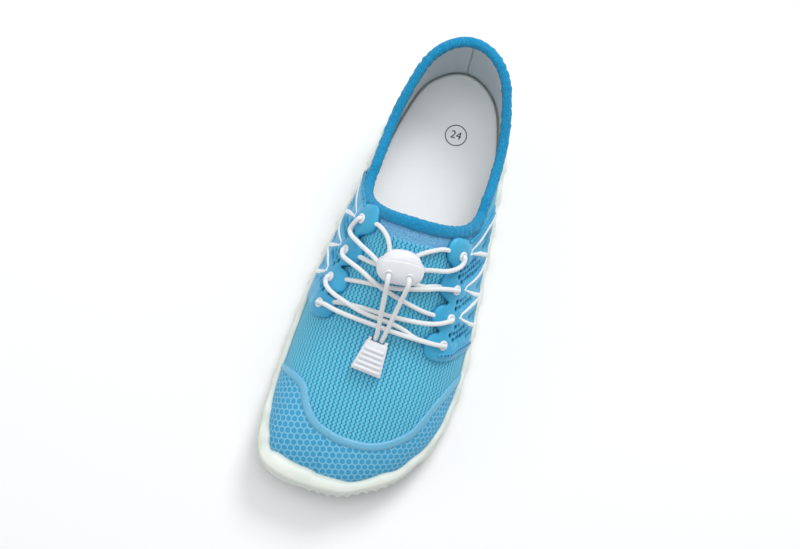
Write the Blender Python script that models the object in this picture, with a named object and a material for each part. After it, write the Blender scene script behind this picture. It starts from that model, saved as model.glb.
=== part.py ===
"""Water shoe for the left foot, EU size 37, standing on its sole.

The frame: +X is the outer (lateral) side, the toe points to -Y, +Z is up, and the origin is on
the floor under the middle of the heel. A station is a share of the length, 0 at the back of the
heel and 1 at the toe. Every curved piece is read from one last surface, so that neighbours
follow each other at a named clearance.
"""

import math

import bmesh
import bpy
import numpy as np
from mathutils import Matrix, Vector

MM = 0.001

# Driving dimensions of the shoe
LENGTH = 250 * MM
BALL_WIDTH = 97 * MM
INSTEP_HEIGHT = 79 * MM
ANKLE_HEIGHT = 56 * MM
HEEL_HEIGHT = 74 * MM
HEEL_CENTRE = 0.13

# Walls and clearances
CLEARANCE = 0.3 * MM
RIM_GAP = 0.6 * MM
UPPER_WALL = 2.0 * MM
RIM_WALL = 2.2 * MM
TOE_RIM_WALL = 5.2 * MM

# The sole, from the floor
HEEL_THICKNESS = 11 * MM
FOREFOOT_THICKNESS = 8.5 * MM
TOE_SPRING = 10 * MM
HEEL_SPRING = 2.5 * MM
ARCH_RISE = 2.5 * MM
LUG_HEIGHT = 2.8 * MM
RIM_HEIGHT = 6.0 * MM
BUMPER_HEIGHT = 8.0 * MM
BUMPER_WAVE = 1.3 * MM
INSOLE_THICKNESS = 3.5 * MM

# The overlays
BINDING_WIDTH = 6.0 * MM
BINDING_THICKNESS = 5.0 * MM
CAGE_THICKNESS = 1.3 * MM
TAB_THICKNESS = 3.4 * MM
TAB_STEP = 0.4 * MM
BAND_THICKNESS = 0.9 * MM
BAND_WIDTH = 4.5 * MM
EYELET_RADIUS = 2.7 * MM
EYELET_BORE = 1.35 * MM
EYELET_HEIGHT = 0.9 * MM

# The elastic lace, its lock and the clip on its ends
LACE_RADIUS = 1.25 * MM
LOCK_WIDTH = 24.5 * MM
LOCK_LENGTH = 18 * MM
LOCK_THICKNESS = 12 * MM
LOCK_STATION = 0.525
LOCK_OFFSET = -3.5 * MM
BUTTON_SHARE = 0.42
CLIP_WIDTH = 16.5 * MM
CLIP_TOP_WIDTH = 11.5 * MM
CLIP_LENGTH = 17.0 * MM
CLIP_THICKNESS = 6 * MM
CLIP_STATION = 0.717
CLIP_OFFSET = -2.9 * MM

# How finely the surfaces are divided
PAIRS = 25
UPPER_ROWS = 10

# The sole's outline, as shares of the length and of the ball width
OUTLINE = (
    # station, medial, lateral
    (0.993, -0.330, 0.030),
    (0.975, -0.430, 0.125),
    (0.945, -0.478, 0.250),
    (0.900, -0.500, 0.350),
    (0.820, -0.512, 0.448),
    (0.700, -0.508, 0.490),
    (0.580, -0.492, 0.472),
    (0.450, -0.450, 0.436),
    (0.300, -0.390, 0.395),
    (0.160, -0.338, 0.345),
    (0.060, -0.255, 0.255),
    (0.014, -0.130, 0.130),
)
TOE_POINT = -0.140

# The last's ridge and the fullness of its sections. The height is a share of the instep's, the
# offset of the ball width. Behind the throat the ridge is only where the walls lean to.
SECTIONS = (
    # station, ridge height, ridge offset, medial fullness, lateral fullness
    (0.00, 1.65, 0.000, 2.3, 2.3),
    (0.15, 1.58, 0.000, 2.3, 2.3),
    (0.30, 1.32, -0.010, 2.1, 2.0),
    (0.40, 1.12, -0.030, 1.95, 1.85),
    (0.48, 0.975, -0.040, 1.9, 1.85),
    (0.56, 0.850, -0.050, 1.95, 1.9),
    (0.66, 0.715, -0.060, 2.1, 2.05),
    (0.74, 0.630, -0.062, 2.2, 2.15),
    (0.86, 0.550, -0.062, 2.4, 2.35),
    (1.00, 0.490, -0.062, 2.4, 2.35),
)
TOE_CENTRE = 0.74
HEEL_PIVOT = 0.13

# The collar's edge, binding included, as shares of the named heights
TOPLINE = (
    # station, heel height, ankle height, instep height
    (0.000, 1.00, 0.00, 0.00),
    (0.060, 0.80, 0.22, 0.00),
    (0.150, 0.22, 0.82, 0.00),
    (0.250, 0.00, 1.00, 0.00),
    (0.320, 0.00, 0.84, 0.13),
    (0.370, 0.00, 0.50, 0.42),
    (0.420, 0.00, 0.20, 0.75),
)
THROAT_START = 0.345
THROAT_FULLNESS = 2.1
THROAT = 0.462

# The cage's front edge with its lacing tabs, as shares of the length and of the ball width
LATERAL_CAGE = (
    # station, offset
    (0.250, 0.600),
    (0.280, 0.372),
    (0.350, 0.345),
    (0.420, 0.290),
    (0.440, 0.200),
    (0.458, 0.180),
    (0.482, 0.190),
    (0.497, 0.235),
    (0.510, 0.210),
    (0.530, 0.196),
    (0.549, 0.206),
    (0.562, 0.262),
    (0.573, 0.225),
    (0.588, 0.208),
    (0.608, 0.212),
    (0.622, 0.262),
    (0.632, 0.228),
    (0.648, 0.212),
    (0.672, 0.224),
    (0.682, 0.262),
    (0.668, 0.360),
    (0.625, 0.440),
    (0.585, 0.600),
)
MEDIAL_CAGE = (
    # station, offset
    (0.250, -0.620),
    (0.290, -0.392),
    (0.360, -0.350),
    (0.420, -0.290),
    (0.432, -0.216),
    (0.455, -0.200),
    (0.480, -0.210),
    (0.492, -0.272),
    (0.505, -0.245),
    (0.530, -0.232),
    (0.548, -0.245),
    (0.556, -0.312),
    (0.566, -0.280),
    (0.590, -0.262),
    (0.608, -0.278),
    (0.614, -0.338),
    (0.625, -0.300),
    (0.650, -0.288),
    (0.664, -0.318),
    (0.655, -0.400),
    (0.622, -0.450),
    (0.590, -0.620),
)

# The tabs' eyelets, four a side
EYELETS = (
    # station, medial offset, lateral offset
    (0.456, -0.266, 0.244),
    (0.522, -0.302, 0.267),
    (0.580, -0.338, 0.285),
    (0.636, -0.354, 0.291),
)

# How far the lateral eyelets are ahead of the medial ones
EYELET_LEAD = 0.009

# Each tab's thick part: half its length along the shoe and its reach behind the eyelet
TAB_HALF_LENGTH = 0.0255
TAB_REACH = 4.6 * MM

# The cage's windows, seen from the side: centre, half sizes and lean, in shares of the length
WINDOWS = (
    # station, height, half length, half height, lean in degrees
    (0.345, 0.125, 0.024, 0.034, -20.0),
    (0.425, 0.135, 0.024, 0.040, -22.0),
    (0.500, 0.128, 0.021, 0.036, -24.0),
    (0.568, 0.110, 0.018, 0.028, -26.0),
)

# The welded band across the toe box, as shares of the length and of the ball width
TOE_BAND = (
    # station, offset
    (0.760, -0.520),
    (0.806, -0.345),
    (0.843, -0.290),
    (0.874, -0.222),
    (0.890, -0.115),
    (0.894, -0.010),
    (0.887, 0.115),
    (0.866, 0.215),
    (0.836, 0.295),
    (0.795, 0.345),
    (0.750, 0.390),
    (0.700, 0.440),
    (0.660, 0.520),
)

# The lace's runs over the vamp. The offset is a share of the ball width, the lift is to the
# lace's centre from the upper, in millimetres.
LACE_RUNS = {
    "bottom_bar": (
        # station, offset, lift
        (0.638, -0.316, 5.6),
        (0.645, -0.262, 5.6),
        (0.650, -0.190, 4.6),
        (0.653, -0.100, 4.1),
        (0.655, 0.000, 4.0),
        (0.655, 0.100, 3.8),
        (0.654, 0.150, 4.0),
        (0.652, 0.197, 5.5),
        (0.649, 0.254, 5.6),
    ),
    "cross_a": (
        (0.629, -0.275, 1.8),
        (0.629, -0.200, 1.8),
        (0.629, -0.129, 1.8),
        (0.629, -0.038, 2.3),
        (0.627, 0.050, 2.2),
        (0.622, 0.130, 3.2),
        (0.615, 0.190, 5.5),
        (0.607, 0.232, 5.6),
        (0.602, 0.252, 5.6),
    ),
    "cross_b": (
        (0.5935, -0.342, 5.7),
        (0.603, -0.325, 5.7),
        (0.614, -0.290, 5.5),
        (0.623, -0.240, 4.8),
        (0.632, -0.180, 3.8),
        (0.638, -0.120, 3.2),
        (0.640, -0.065, 2.2),
        (0.642, 0.020, 1.8),
        (0.646, 0.090, 1.8),
        (0.653, 0.150, 1.8),
        (0.653, 0.186, 1.8),
    ),
    "cross_d": (
        (0.581, -0.238, 1.8),
        (0.580, -0.170, 1.8),
        (0.579, -0.097, 1.9),
        (0.573, 0.000, 2.3),
        (0.563, 0.080, 2.3),
        (0.557, 0.118, 3.4),
        (0.548, 0.155, 4.7),
        (0.542, 0.185, 5.6),
        (0.535, 0.232, 5.7),
    ),
    "cross_e": (
        (0.535, -0.296, 5.7),
        (0.542, -0.270, 5.7),
        (0.549, -0.235, 5.6),
        (0.559, -0.190, 4.4),
        (0.570, -0.145, 4.0),
        (0.578, -0.100, 3.9),
        (0.583, -0.060, 3.4),
        (0.590, 0.000, 2.4),
        (0.595, 0.070, 1.8),
        (0.598, 0.130, 1.8),
        (0.598, 0.182, 1.8),
    ),
    "cross_f": (
        (0.536, -0.206, 1.8),
        (0.541, -0.142, 1.8),
        (0.536, -0.031, 1.8),
        (0.524, 0.085, 1.8),
        (0.515, 0.140, 2.8),
        (0.508, 0.175, 5.4),
        (0.496, 0.215, 5.8),
        (0.484, 0.240, 5.7),
        (0.479, 0.245, 5.7),
    ),
    "cross_g": (
        (0.470, -0.285, 5.7),
        (0.480, -0.298, 5.6),
        (0.491, -0.283, 5.6),
        (0.502, -0.248, 5.6),
        (0.514, -0.205, 5.2),
        (0.526, -0.162, 3.6),
        (0.540, -0.114, 3.7),
        (0.549, -0.051, 3.4),
        (0.554, 0.010, 2.6),
        (0.554, 0.070, 1.8),
        (0.5535, 0.118, 1.8),
        (0.543, 0.170, 1.8),
    ),
    "lead_medial": (
        (0.467, -0.180, 1.8),
        (0.476, -0.150, 1.8),
        (0.486, -0.124, 2.0),
        (0.500, -0.104, 2.6),
        (0.513, -0.092, 3.0),
    ),
    "lead_lateral": (
        (0.470, 0.158, 1.8),
        (0.479, 0.120, 1.8),
        (0.488, 0.082, 2.2),
        (0.498, 0.046, 2.6),
        (0.508, 0.022, 2.9),
    ),
}
LACE_GROUPS = {
    "lace_lower": ("bottom_bar", "cross_b", "cross_a"),
    "lace_upper": ("cross_d", "cross_e", "cross_g", "cross_f"),
}

# The lock's and the clip's insides and places
LOCK_LIFT = 6.0 * MM
LOCK_TURN = math.radians(5.0)
LOCK_HOLES = (-5.8 * MM, 4.8 * MM)
LOCK_HOLE_Y = -3.4 * MM
BUTTON_TRAVEL = 2.5 * MM
POCKET_CENTRE = -0.5 * MM
POCKET_HALF = 3.4 * MM
POCKET_DEPTH = 5.5 * MM
PLUNGER_REACH = 4.8 * MM
CLIP_LIFT = 1.0 * MM
CLIP_TURN = math.radians(-5.0)
CLIP_RIBS = 5
END_SAG = 0.2 * MM

# The side lugs, by station, and the tread: leaf-shaped blocks under the heel and the forefoot
SIDE_LUGS = (0.05, 0.13, 0.21, 0.29, 0.37, 0.45, 0.53, 0.61, 0.69, 0.77, 0.85, 0.925)
TREAD = (
    # station, offset, half length, half width, turn in degrees
    (0.060, 0.000, 0.022, 0.100, 0.0),
    (0.130, 0.000, 0.030, 0.120, 0.0),
    (0.205, -0.120, 0.026, 0.090, 20.0),
    (0.205, 0.120, 0.026, 0.090, -20.0),
    (0.290, 0.000, 0.026, 0.130, 0.0),
    (0.540, 0.000, 0.026, 0.130, 0.0),
    (0.590, -0.220, 0.028, 0.100, 20.0),
    (0.590, 0.220, 0.028, 0.100, -20.0),
    (0.640, 0.000, 0.030, 0.130, 0.0),
    (0.700, -0.240, 0.028, 0.105, 20.0),
    (0.700, 0.220, 0.028, 0.105, -20.0),
    (0.765, 0.000, 0.030, 0.130, 0.0),
    (0.840, -0.220, 0.030, 0.100, 20.0),
    (0.840, 0.150, 0.028, 0.100, -20.0),
)

# Colours of the parts
SKY = (0.10, 0.47, 0.74)
PALE_SKY = (0.22, 0.58, 0.80)
AZURE = (0.02, 0.30, 0.56)
CAGE_BLUE = (0.06, 0.42, 0.70)
OFF_WHITE = (0.82, 0.86, 0.80)
WHITE = (0.90, 0.90, 0.88)


def clear_scene():
    """Remove every object, and make the shoe's and the cutters' collections."""
    for item in list(bpy.data.objects):
        bpy.data.objects.remove(item, do_unlink=True)
    shoe = bpy.data.collections.new("water_shoe")
    cutters = bpy.data.collections.new("cutters")
    bpy.context.scene.collection.children.link(shoe)
    bpy.context.scene.collection.children.link(cutters)
    cutters.hide_render = True
    return shoe, cutters


def material(name, colour, roughness, metallic=0.0):
    """A Principled material of one colour."""
    made = bpy.data.materials.new(name)
    made.use_nodes = True
    shader = made.node_tree.nodes["Principled BSDF"]
    shader.inputs["Base Color"].default_value = (*colour, 1.0)
    shader.inputs["Roughness"].default_value = roughness
    shader.inputs["Metallic"].default_value = metallic
    made.diffuse_color = (*colour, 1.0)
    return made


def smooth_table(table, column):
    """A function through one column of a table, by the station, with no overshoot."""
    rows = sorted(table)
    x = np.array([row[0] for row in rows], float)
    y = np.array([row[column] for row in rows], float)
    step = np.diff(x)
    rise = np.diff(y) / step
    slope = np.zeros(len(x))
    for i in range(1, len(x) - 1):
        if rise[i - 1] * rise[i] > 0:
            before = 2 * step[i] + step[i - 1]
            after = step[i] + 2 * step[i - 1]
            slope[i] = (before + after) / (before / rise[i - 1] + after / rise[i])
    slope[0] = rise[0]
    slope[-1] = rise[-1]

    def value(at):
        at = np.clip(np.asarray(at, float), x[0], x[-1])
        i = np.clip(np.searchsorted(x, at, side="right") - 1, 0, len(x) - 2)
        t = (at - x[i]) / step[i]
        first = (1 + 2 * t) * (1 - t) ** 2 * y[i] + t * (1 - t) ** 2 * step[i] * slope[i]
        second = t * t * (3 - 2 * t) * y[i + 1] + t * t * (t - 1) * step[i] * slope[i + 1]
        return first + second

    return value


def spline_through(points, per_span, closed):
    """Points along a smooth curve through the given points."""
    p = np.array(points, float)
    if closed:
        p = np.vstack([p[-1], p, p[:2]])
    else:
        p = np.vstack([2 * p[0] - p[1], p, 2 * p[-1] - p[-2]])
    out = []
    for i in range(1, len(p) - 2):
        a, b, c, d = p[i - 1], p[i], p[i + 1], p[i + 2]
        t0 = 0.0
        t1 = t0 + math.sqrt(max(np.linalg.norm(b - a), 1e-9))
        t2 = t1 + math.sqrt(max(np.linalg.norm(c - b), 1e-9))
        t3 = t2 + math.sqrt(max(np.linalg.norm(d - c), 1e-9))
        for t in np.linspace(t1, t2, per_span, endpoint=False):
            ab = (t1 - t) / (t1 - t0) * a + (t - t0) / (t1 - t0) * b
            bc = (t2 - t) / (t2 - t1) * b + (t - t1) / (t2 - t1) * c
            cd = (t3 - t) / (t3 - t2) * c + (t - t2) / (t3 - t2) * d
            abc = (t2 - t) / (t2 - t0) * ab + (t - t0) / (t2 - t0) * bc
            bcd = (t3 - t) / (t3 - t1) * bc + (t - t1) / (t3 - t1) * cd
            out.append((t2 - t) / (t2 - t1) * abc + (t - t1) / (t2 - t1) * bcd)
    if not closed:
        out.append(p[-2])
    return np.array(out)


def y_of(station):
    return (HEEL_CENTRE - np.asarray(station, float)) * LENGTH


def station_of(y):
    return HEEL_CENTRE - np.asarray(y, float) / LENGTH


def smoothstep(x, low, high):
    t = np.clip((np.asarray(x, float) - low) / (high - low), 0.0, 1.0)
    return t * t * (3 - 2 * t)


def outline_dense():
    """The sole's outline, closed: heel, lateral side, toe, medial side."""
    rows = sorted(OUTLINE)
    lateral = [(row[2] * BALL_WIDTH, y_of(row[0])) for row in rows]
    medial = [(row[1] * BALL_WIDTH, y_of(row[0])) for row in reversed(rows)]
    loop = [(0.0, y_of(0.0))] + lateral + [(TOE_POINT * BALL_WIDTH, y_of(1.0))] + medial
    return spline_through(loop, 40, True)


DENSE = outline_dense()
_ahead = np.roll(DENSE, -1, axis=0) - np.roll(DENSE, 1, axis=0)
# The loop runs anticlockwise from above seen with the toe at -Y, so outward is to the right.
_turn = np.stack([_ahead[:, 1], -_ahead[:, 0]], axis=1)
DENSE_NORMAL = _turn / np.linalg.norm(_turn, axis=1)[:, None]
if (DENSE_NORMAL * (DENSE - DENSE.mean(axis=0))).sum() < 0:
    DENSE_NORMAL = -DENSE_NORMAL
TIP = int(np.argmin(DENSE[:, 1]))


def side_points(lateral):
    """Indices into the dense outline from the heel's back to the toe's tip on one side."""
    if lateral:
        return np.arange(0, TIP + 1)
    return np.r_[np.arange(len(DENSE), TIP - 1, -1) % len(DENSE)]


ridge_share = smooth_table(SECTIONS, 1)
ridge_offset = smooth_table(SECTIONS, 2)
medial_fullness = smooth_table(SECTIONS, 3)
lateral_fullness = smooth_table(SECTIONS, 4)
topline_heel = smooth_table(TOPLINE, 1)
topline_ankle = smooth_table(TOPLINE, 2)
topline_instep = smooth_table(TOPLINE, 3)


def floor_line(station):
    """Height of the lugs' tips over the floor: the heel's and the toe's springs."""
    s = np.asarray(station, float)
    toe = np.clip((s - 0.70) / 0.30, 0.0, 1.0) ** 2 * TOE_SPRING
    heel = np.clip((0.07 - s) / 0.07, 0.0, 1.0) ** 2 * HEEL_SPRING
    return toe + heel


def bed_height(station):
    """Height of the foot bed, the sole's top inside its rim."""
    s = np.asarray(station, float)
    thick = HEEL_THICKNESS + (FOREFOOT_THICKNESS - HEEL_THICKNESS) * smoothstep(s, 0.2, 0.62)
    return thick + floor_line(s)


def rim_thickness(station, lateral):
    """Thickness of the sole's rim, thicker at the toe bumper and most on its medial side."""
    extra = TOE_RIM_WALL - RIM_WALL
    share = np.where(lateral, 0.45, 1.0)
    return RIM_WALL + extra * share * smoothstep(station, 0.80, 0.97)


def rim_top(station, lateral):
    """Height of the rim's top, with the toe bumper's waves."""
    s = np.asarray(station, float)
    bumper = smoothstep(s, 0.80, 0.97)
    wave = np.sin(s * 2 * math.pi / 0.062 + np.where(lateral, 0.0, 2.0)) * BUMPER_WAVE
    height = RIM_HEIGHT + (BUMPER_HEIGHT - RIM_HEIGHT) * bumper
    arch = np.where(lateral, 0.0, 1.5 * MM) * np.exp(-(((s - 0.45) / 0.16) ** 2))
    return bed_height(s) + height + wave * (0.45 + 0.55 * bumper) + arch


def ridge_height(station):
    return ridge_share(station) * INSTEP_HEIGHT


def ring_indices(pairs=PAIRS):
    """Dense outline indices for a ring: pairs of points at like stations, heel first."""
    stations = (1 - np.cos(np.pi * np.arange(1, pairs) / pairs)) / 2
    rings = []
    for lateral in (True, False):
        index = side_points(lateral)
        s = station_of(DENSE[index][:, 1])
        order = np.argsort(s, kind="stable")
        rings.append(index[order][np.searchsorted(s[order], stations).clip(0, len(s) - 1)])
    return np.r_[[0], rings[0], [TIP], rings[1][::-1]]


RING = ring_indices()
RING_LATERAL = np.r_[np.ones(PAIRS + 1, bool), np.zeros(PAIRS - 1, bool)]
RING_STATION = station_of(DENSE[RING][:, 1])


def inset_ring(amount, index=RING):
    """The ring moved inward from the sole's outline by the amount at each point."""
    return DENSE[index] - DENSE_NORMAL[index] * np.asarray(amount).reshape(-1, 1)


# The upper's foot line: the outline inside the rim, as a dense loop for the last's sections
_dense_station = station_of(DENSE[:, 1])
_dense_lateral = np.arange(len(DENSE)) <= TIP
FOOT = DENSE - DENSE_NORMAL * (
    rim_thickness(_dense_station, _dense_lateral) + RIM_GAP
).reshape(-1, 1)


def foot_edge(station, lateral):
    """Offset of the upper's foot line at a station, on one side."""
    index = side_points(lateral)
    s = station_of(FOOT[index][:, 1])
    order = np.argsort(s, kind="stable")
    return np.interp(station, s[order], FOOT[index][order][:, 0])


def pole(station):
    """The point of the ridge that a place's section is measured from."""
    s = np.clip(station, HEEL_PIVOT, TOE_CENTRE)
    return ridge_offset(s) * BALL_WIDTH, y_of(s)


def end_radius(x, y, toe):
    """Distance from the toe's or the heel's pole to the foot line, along the way to a point."""
    px, py = pole(np.array(1.0 if toe else 0.0))
    keep = FOOT[:, 1] <= py if toe else FOOT[:, 1] >= py
    around = FOOT[keep] - np.array([px, py])
    angle = np.arctan2(around[:, 0], around[:, 1] * (-1 if toe else 1))
    order = np.argsort(angle)
    radius = np.linalg.norm(around, axis=1)[order]
    wanted = np.arctan2(x - px, (y - py) * (-1 if toe else 1))
    return np.interp(wanted, angle[order], radius)


def last_point(x, y):
    """A point of the upper's outer surface, from a place on the flat pattern of the foot line.

    On the pattern the ridge is the middle and the foot line is the edge, and equal steps from
    one to the other are equal turns around the section.
    """
    x = np.asarray(x, float)
    y = np.asarray(y, float)
    s = station_of(y)
    px, py = pole(s)
    reach = np.hypot(x - px, y - py)
    lateral = x >= px
    edge = np.where(lateral, foot_edge(s, True), foot_edge(s, False))
    whole = np.abs(edge - px)
    whole = np.where(s > TOE_CENTRE, end_radius(x, y, True), whole)
    whole = np.where(s < HEEL_PIVOT, end_radius(x, y, False), whole)
    q = np.clip(reach / np.maximum(whole, 1e-6), 0.0, 1.0)
    lean = 0.5 + 0.5 * np.clip((x - px) / np.maximum(reach, 1e-9), -1, 1)
    fullness = medial_fullness(s) * (1 - lean) + lateral_fullness(s) * lean
    theta = (1 - q) * math.pi / 2
    out = np.cos(theta) ** (2 / fullness)
    scale = np.where(reach > 1e-9, out * whole / np.maximum(reach, 1e-9), 0.0)
    real_x = px + (x - px) * scale
    real_y = py + (y - py) * scale
    real_s = station_of(real_y)
    foot = bed_height(real_s) + RIM_GAP
    z = foot + (ridge_height(real_s) - foot) * np.sin(theta) ** (2 / fullness)
    return np.stack([real_x, real_y, z], axis=-1)


def last_height(x, y):
    """Height of the upper's outer surface straight over a point ahead of the throat."""
    s = float(station_of(y))
    px, py = pole(np.array(s))
    reach = math.hypot(x - px, y - py)
    if s > TOE_CENTRE:
        whole = float(end_radius(np.array(x), np.array(y), True))
    else:
        whole = abs(float(foot_edge(s, x >= px)) - px)
    lean = 0.5 + 0.5 * max(-1.0, min(1.0, (x - px) / max(reach, 1e-9)))
    n = float(medial_fullness(s)) * (1 - lean) + float(lateral_fullness(s)) * lean
    foot = float(bed_height(s)) + CLEARANCE
    share = max(0.0, 1 - min(1.0, reach / whole) ** n) ** (1 / n)
    return foot + (float(ridge_height(s)) - foot) * share


def last_normal(x, y):
    """The upper's outward direction straight over a point ahead of the throat."""
    d = 0.5 * MM
    dx = (last_height(x + d, y) - last_height(x - d, y)) / (2 * d)
    dy = (last_height(x, y + d) - last_height(x, y - d)) / (2 * d)
    return Vector((-dx, -dy, 1.0)).normalized()


def topline_height(station):
    return (
        topline_heel(station) * HEEL_HEIGHT
        + topline_ankle(station) * ANKLE_HEIGHT
        + topline_instep(station) * INSTEP_HEIGHT
    )


def collar_half(lateral):
    """The collar's edge on one side as pattern places, from the heel's back to the throat."""
    s = THROAT * (1 - np.cos(np.linspace(0, math.pi, 240))) / 2
    edge = foot_edge(np.clip(s, HEEL_PIVOT, 1.0), lateral)
    px, py = pole(s)
    whole = np.abs(edge - px)
    foot = bed_height(s) + CLEARANCE
    fullness = (lateral_fullness if lateral else medial_fullness)(s)
    share = (topline_height(s) - BINDING_WIDTH - foot) / (ridge_height(s) - foot)
    turn = np.arcsin(np.clip(share, 0.0, 1.0) ** (fullness / 2))
    q = 1 - turn / (math.pi / 2)
    # Ahead of the ankle the edge comes round to the ridge in a U
    ahead = np.clip((s - THROAT_START) / (THROAT - THROAT_START), 0.0, 1.0)
    start = np.interp(THROAT_START, s, q)
    q = np.where(ahead > 0, start * (1 - ahead ** THROAT_FULLNESS) ** (1 / THROAT_FULLNESS), q)
    sign = 1.0 if lateral else -1.0
    x = px + sign * q * whole
    y = y_of(s)
    # Behind the heel's pole the edge goes round on circles about it
    behind = s < HEEL_PIVOT
    angle = np.where(behind, (HEEL_PIVOT - s) / HEEL_PIVOT * math.pi / 2, 0.0)
    far_x = px + sign * np.cos(angle)
    far_y = py + np.sin(angle)
    radius = end_radius(far_x, far_y, False)
    x = np.where(behind, px + sign * np.cos(angle) * q * radius, x)
    y = np.where(behind, py + np.sin(angle) * q * radius, y)
    return np.stack([x, y], axis=1)


def along(points):
    steps = np.linalg.norm(np.diff(points, axis=0), axis=1)
    total = np.r_[0.0, np.cumsum(steps)]
    return total / total[-1]


def pattern_grid():
    """The upper as a grid of pattern places: a row per step up, a column per ring point."""
    columns = []
    for lateral in (True, False):
        index = RING[: PAIRS + 1]
        if not lateral:
            index = np.r_[[RING[0]], RING[PAIRS + 1:][::-1], [RING[PAIRS]]]
        foot = FOOT[index]
        collar = collar_half(lateral)
        at = along(foot)
        far = along(collar)
        order = np.argsort(station_of(foot[:, 1]))
        knee = np.interp(0.30, station_of(foot[:, 1])[order], at[order])
        knee_far = np.interp(0.24, station_of(collar[:, 1]), far)
        wanted = np.interp(at, [0.0, knee, 1.0], [0.0, knee_far, 1.0])
        top = np.stack([np.interp(wanted, far, collar[:, k]) for k in (0, 1)], axis=1)
        columns.append((foot, top))
    foot = np.vstack([columns[0][0], columns[1][0][1:-1][::-1]])
    top = np.vstack([columns[0][1], columns[1][1][1:-1][::-1]])
    rows = np.linspace(0.0, 1.0, UPPER_ROWS + 1)
    rows = 0.35 * rows + 0.65 * rows ** 1.35
    return foot[None] + (top - foot)[None] * rows[:, None, None]


def grid_normals(grid):
    """Outward directions at a ring grid's points."""
    along_ring = np.roll(grid, -1, axis=1) - np.roll(grid, 1, axis=1)
    up = np.empty_like(grid)
    up[1:-1] = grid[2:] - grid[:-2]
    up[0] = grid[1] - grid[0]
    up[-1] = grid[-1] - grid[-2]
    normal = np.cross(along_ring, up)
    normal /= np.linalg.norm(normal, axis=2)[..., None]
    centre = grid.mean(axis=(0, 1))
    if (normal * (grid - centre)).sum() < 0:
        normal = -normal
    return normal


PATTERN = pattern_grid()
GRID = last_point(PATTERN[..., 0], PATTERN[..., 1])
NORMALS = grid_normals(GRID)


def new_object(name, mesh, look, collection, smooth=True):
    item = bpy.data.objects.new(name, mesh)
    collection.objects.link(item)
    if look is not None:
        mesh.materials.append(look)
    if smooth:
        for face in mesh.polygons:
            face.use_smooth = True
    return item


def mesh_of(name, points, faces):
    """A closed mesh with its faces turned outward."""
    mesh = bpy.data.meshes.new(name)
    mesh.from_pydata([tuple(p) for p in points], [], [list(f) for f in faces])
    work = bmesh.new()
    work.from_mesh(mesh)
    bmesh.ops.remove_doubles(work, verts=work.verts, dist=1e-7)
    bmesh.ops.recalc_face_normals(work, faces=work.faces)
    work.to_mesh(mesh)
    work.free()
    return mesh


def ring_faces(rings, count, closed=True):
    """Quads between rings of like count, and round the last one to the first if closed."""
    faces = []
    last = rings if closed else rings - 1
    for r in range(last):
        a = r * count
        b = ((r + 1) % rings) * count
        for i in range(count):
            j = (i + 1) % count
            faces.append((a + i, a + j, b + j, b + i))
    return faces


def shell(name, inner, outer, rows, look, collection, short=0.0):
    """A closed band between two offsets of the upper's surface, over some of its rows.

    The last row can stop short of its place by a share of the step below it.
    """
    low, high = rows
    part = GRID[low:high + 1].copy()
    part[-1] += (part[-2] - part[-1]) * short
    turn = NORMALS[low:high + 1]
    out = part + turn * outer
    back = part + turn * inner
    points = np.vstack([out.reshape(-1, 3), back.reshape(-1, 3)])
    count = GRID.shape[1]
    size = (high - low + 1) * count
    faces = []
    for r in range(high - low):
        for i in range(count):
            j = (i + 1) % count
            a, b, c, d = r * count + i, r * count + j, (r + 1) * count + j, (r + 1) * count + i
            for face in ((a, b, c), (a, c, d)):
                faces.append(face)
                faces.append(tuple(v + size for v in reversed(face)))
    for base in (0, (high - low) * count):
        for i in range(count):
            j = (i + 1) % count
            faces.append((base + i, base + j, base + j + size, base + i + size))
    return new_object(name, mesh_of(name, points, faces), look, collection)


def ladder(ring, base, pairs, flip):
    """Cap faces between a ring's paired points."""
    count = len(ring)
    faces = []
    for i in range(pairs):
        a = base + i
        b = base + i + 1
        c = base + (count - i - 1) % count
        d = base + (count - i) % count
        face = [a, b, c, d]
        face = [v for k, v in enumerate(face) if v not in face[:k]]
        faces.append(face[::-1] if flip else face)
    return faces


def boolean(target, tool, operation):
    """Apply a Boolean to the target's mesh."""
    modifier = target.modifiers.new("cut", "BOOLEAN")
    modifier.operation = operation
    modifier.solver = "EXACT"
    modifier.object = tool
    graph = bpy.context.evaluated_depsgraph_get()
    made = bpy.data.meshes.new_from_object(target.evaluated_get(graph))
    target.modifiers.remove(modifier)
    looks = [slot for slot in target.data.materials]
    target.data = made
    target.data.materials.clear()
    for look in looks[:1]:
        target.data.materials.append(look)
    for face in target.data.polygons:
        face.material_index = 0


def drop(item):
    bpy.data.objects.remove(item, do_unlink=True)


def prism(name, outline, low, high, collection, matrix=None):
    """A straight prism over a closed outline in X and Y, between two heights."""
    count = len(outline)
    points = [(p[0], p[1], low) for p in outline] + [(p[0], p[1], high) for p in outline]
    faces = [tuple(range(count)), tuple(range(count, 2 * count))]
    for i in range(count):
        j = (i + 1) % count
        faces.append((i, j, count + j, count + i))
    if matrix is not None:
        points = [tuple(matrix @ Vector(p)) for p in points]
    mesh = mesh_of(name, points, faces)
    item = new_object(name, mesh, None, collection, smooth=False)
    item.display_type = "WIRE"
    item.hide_render = True
    return item


def hull(name, points, collection):
    """The convex solid around some points, as a cutter or a piece to join."""
    mesh = bpy.data.meshes.new(name)
    work = bmesh.new()
    for point in points:
        work.verts.new(point)
    bmesh.ops.convex_hull(work, input=work.verts)
    loose = [v for v in work.verts if not v.link_faces]
    bmesh.ops.delete(work, geom=loose, context="VERTS")
    bmesh.ops.recalc_face_normals(work, faces=work.faces)
    work.to_mesh(mesh)
    work.free()
    item = new_object(name, mesh, None, collection, smooth=False)
    item.display_type = "WIRE"
    item.hide_render = True
    return item


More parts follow.
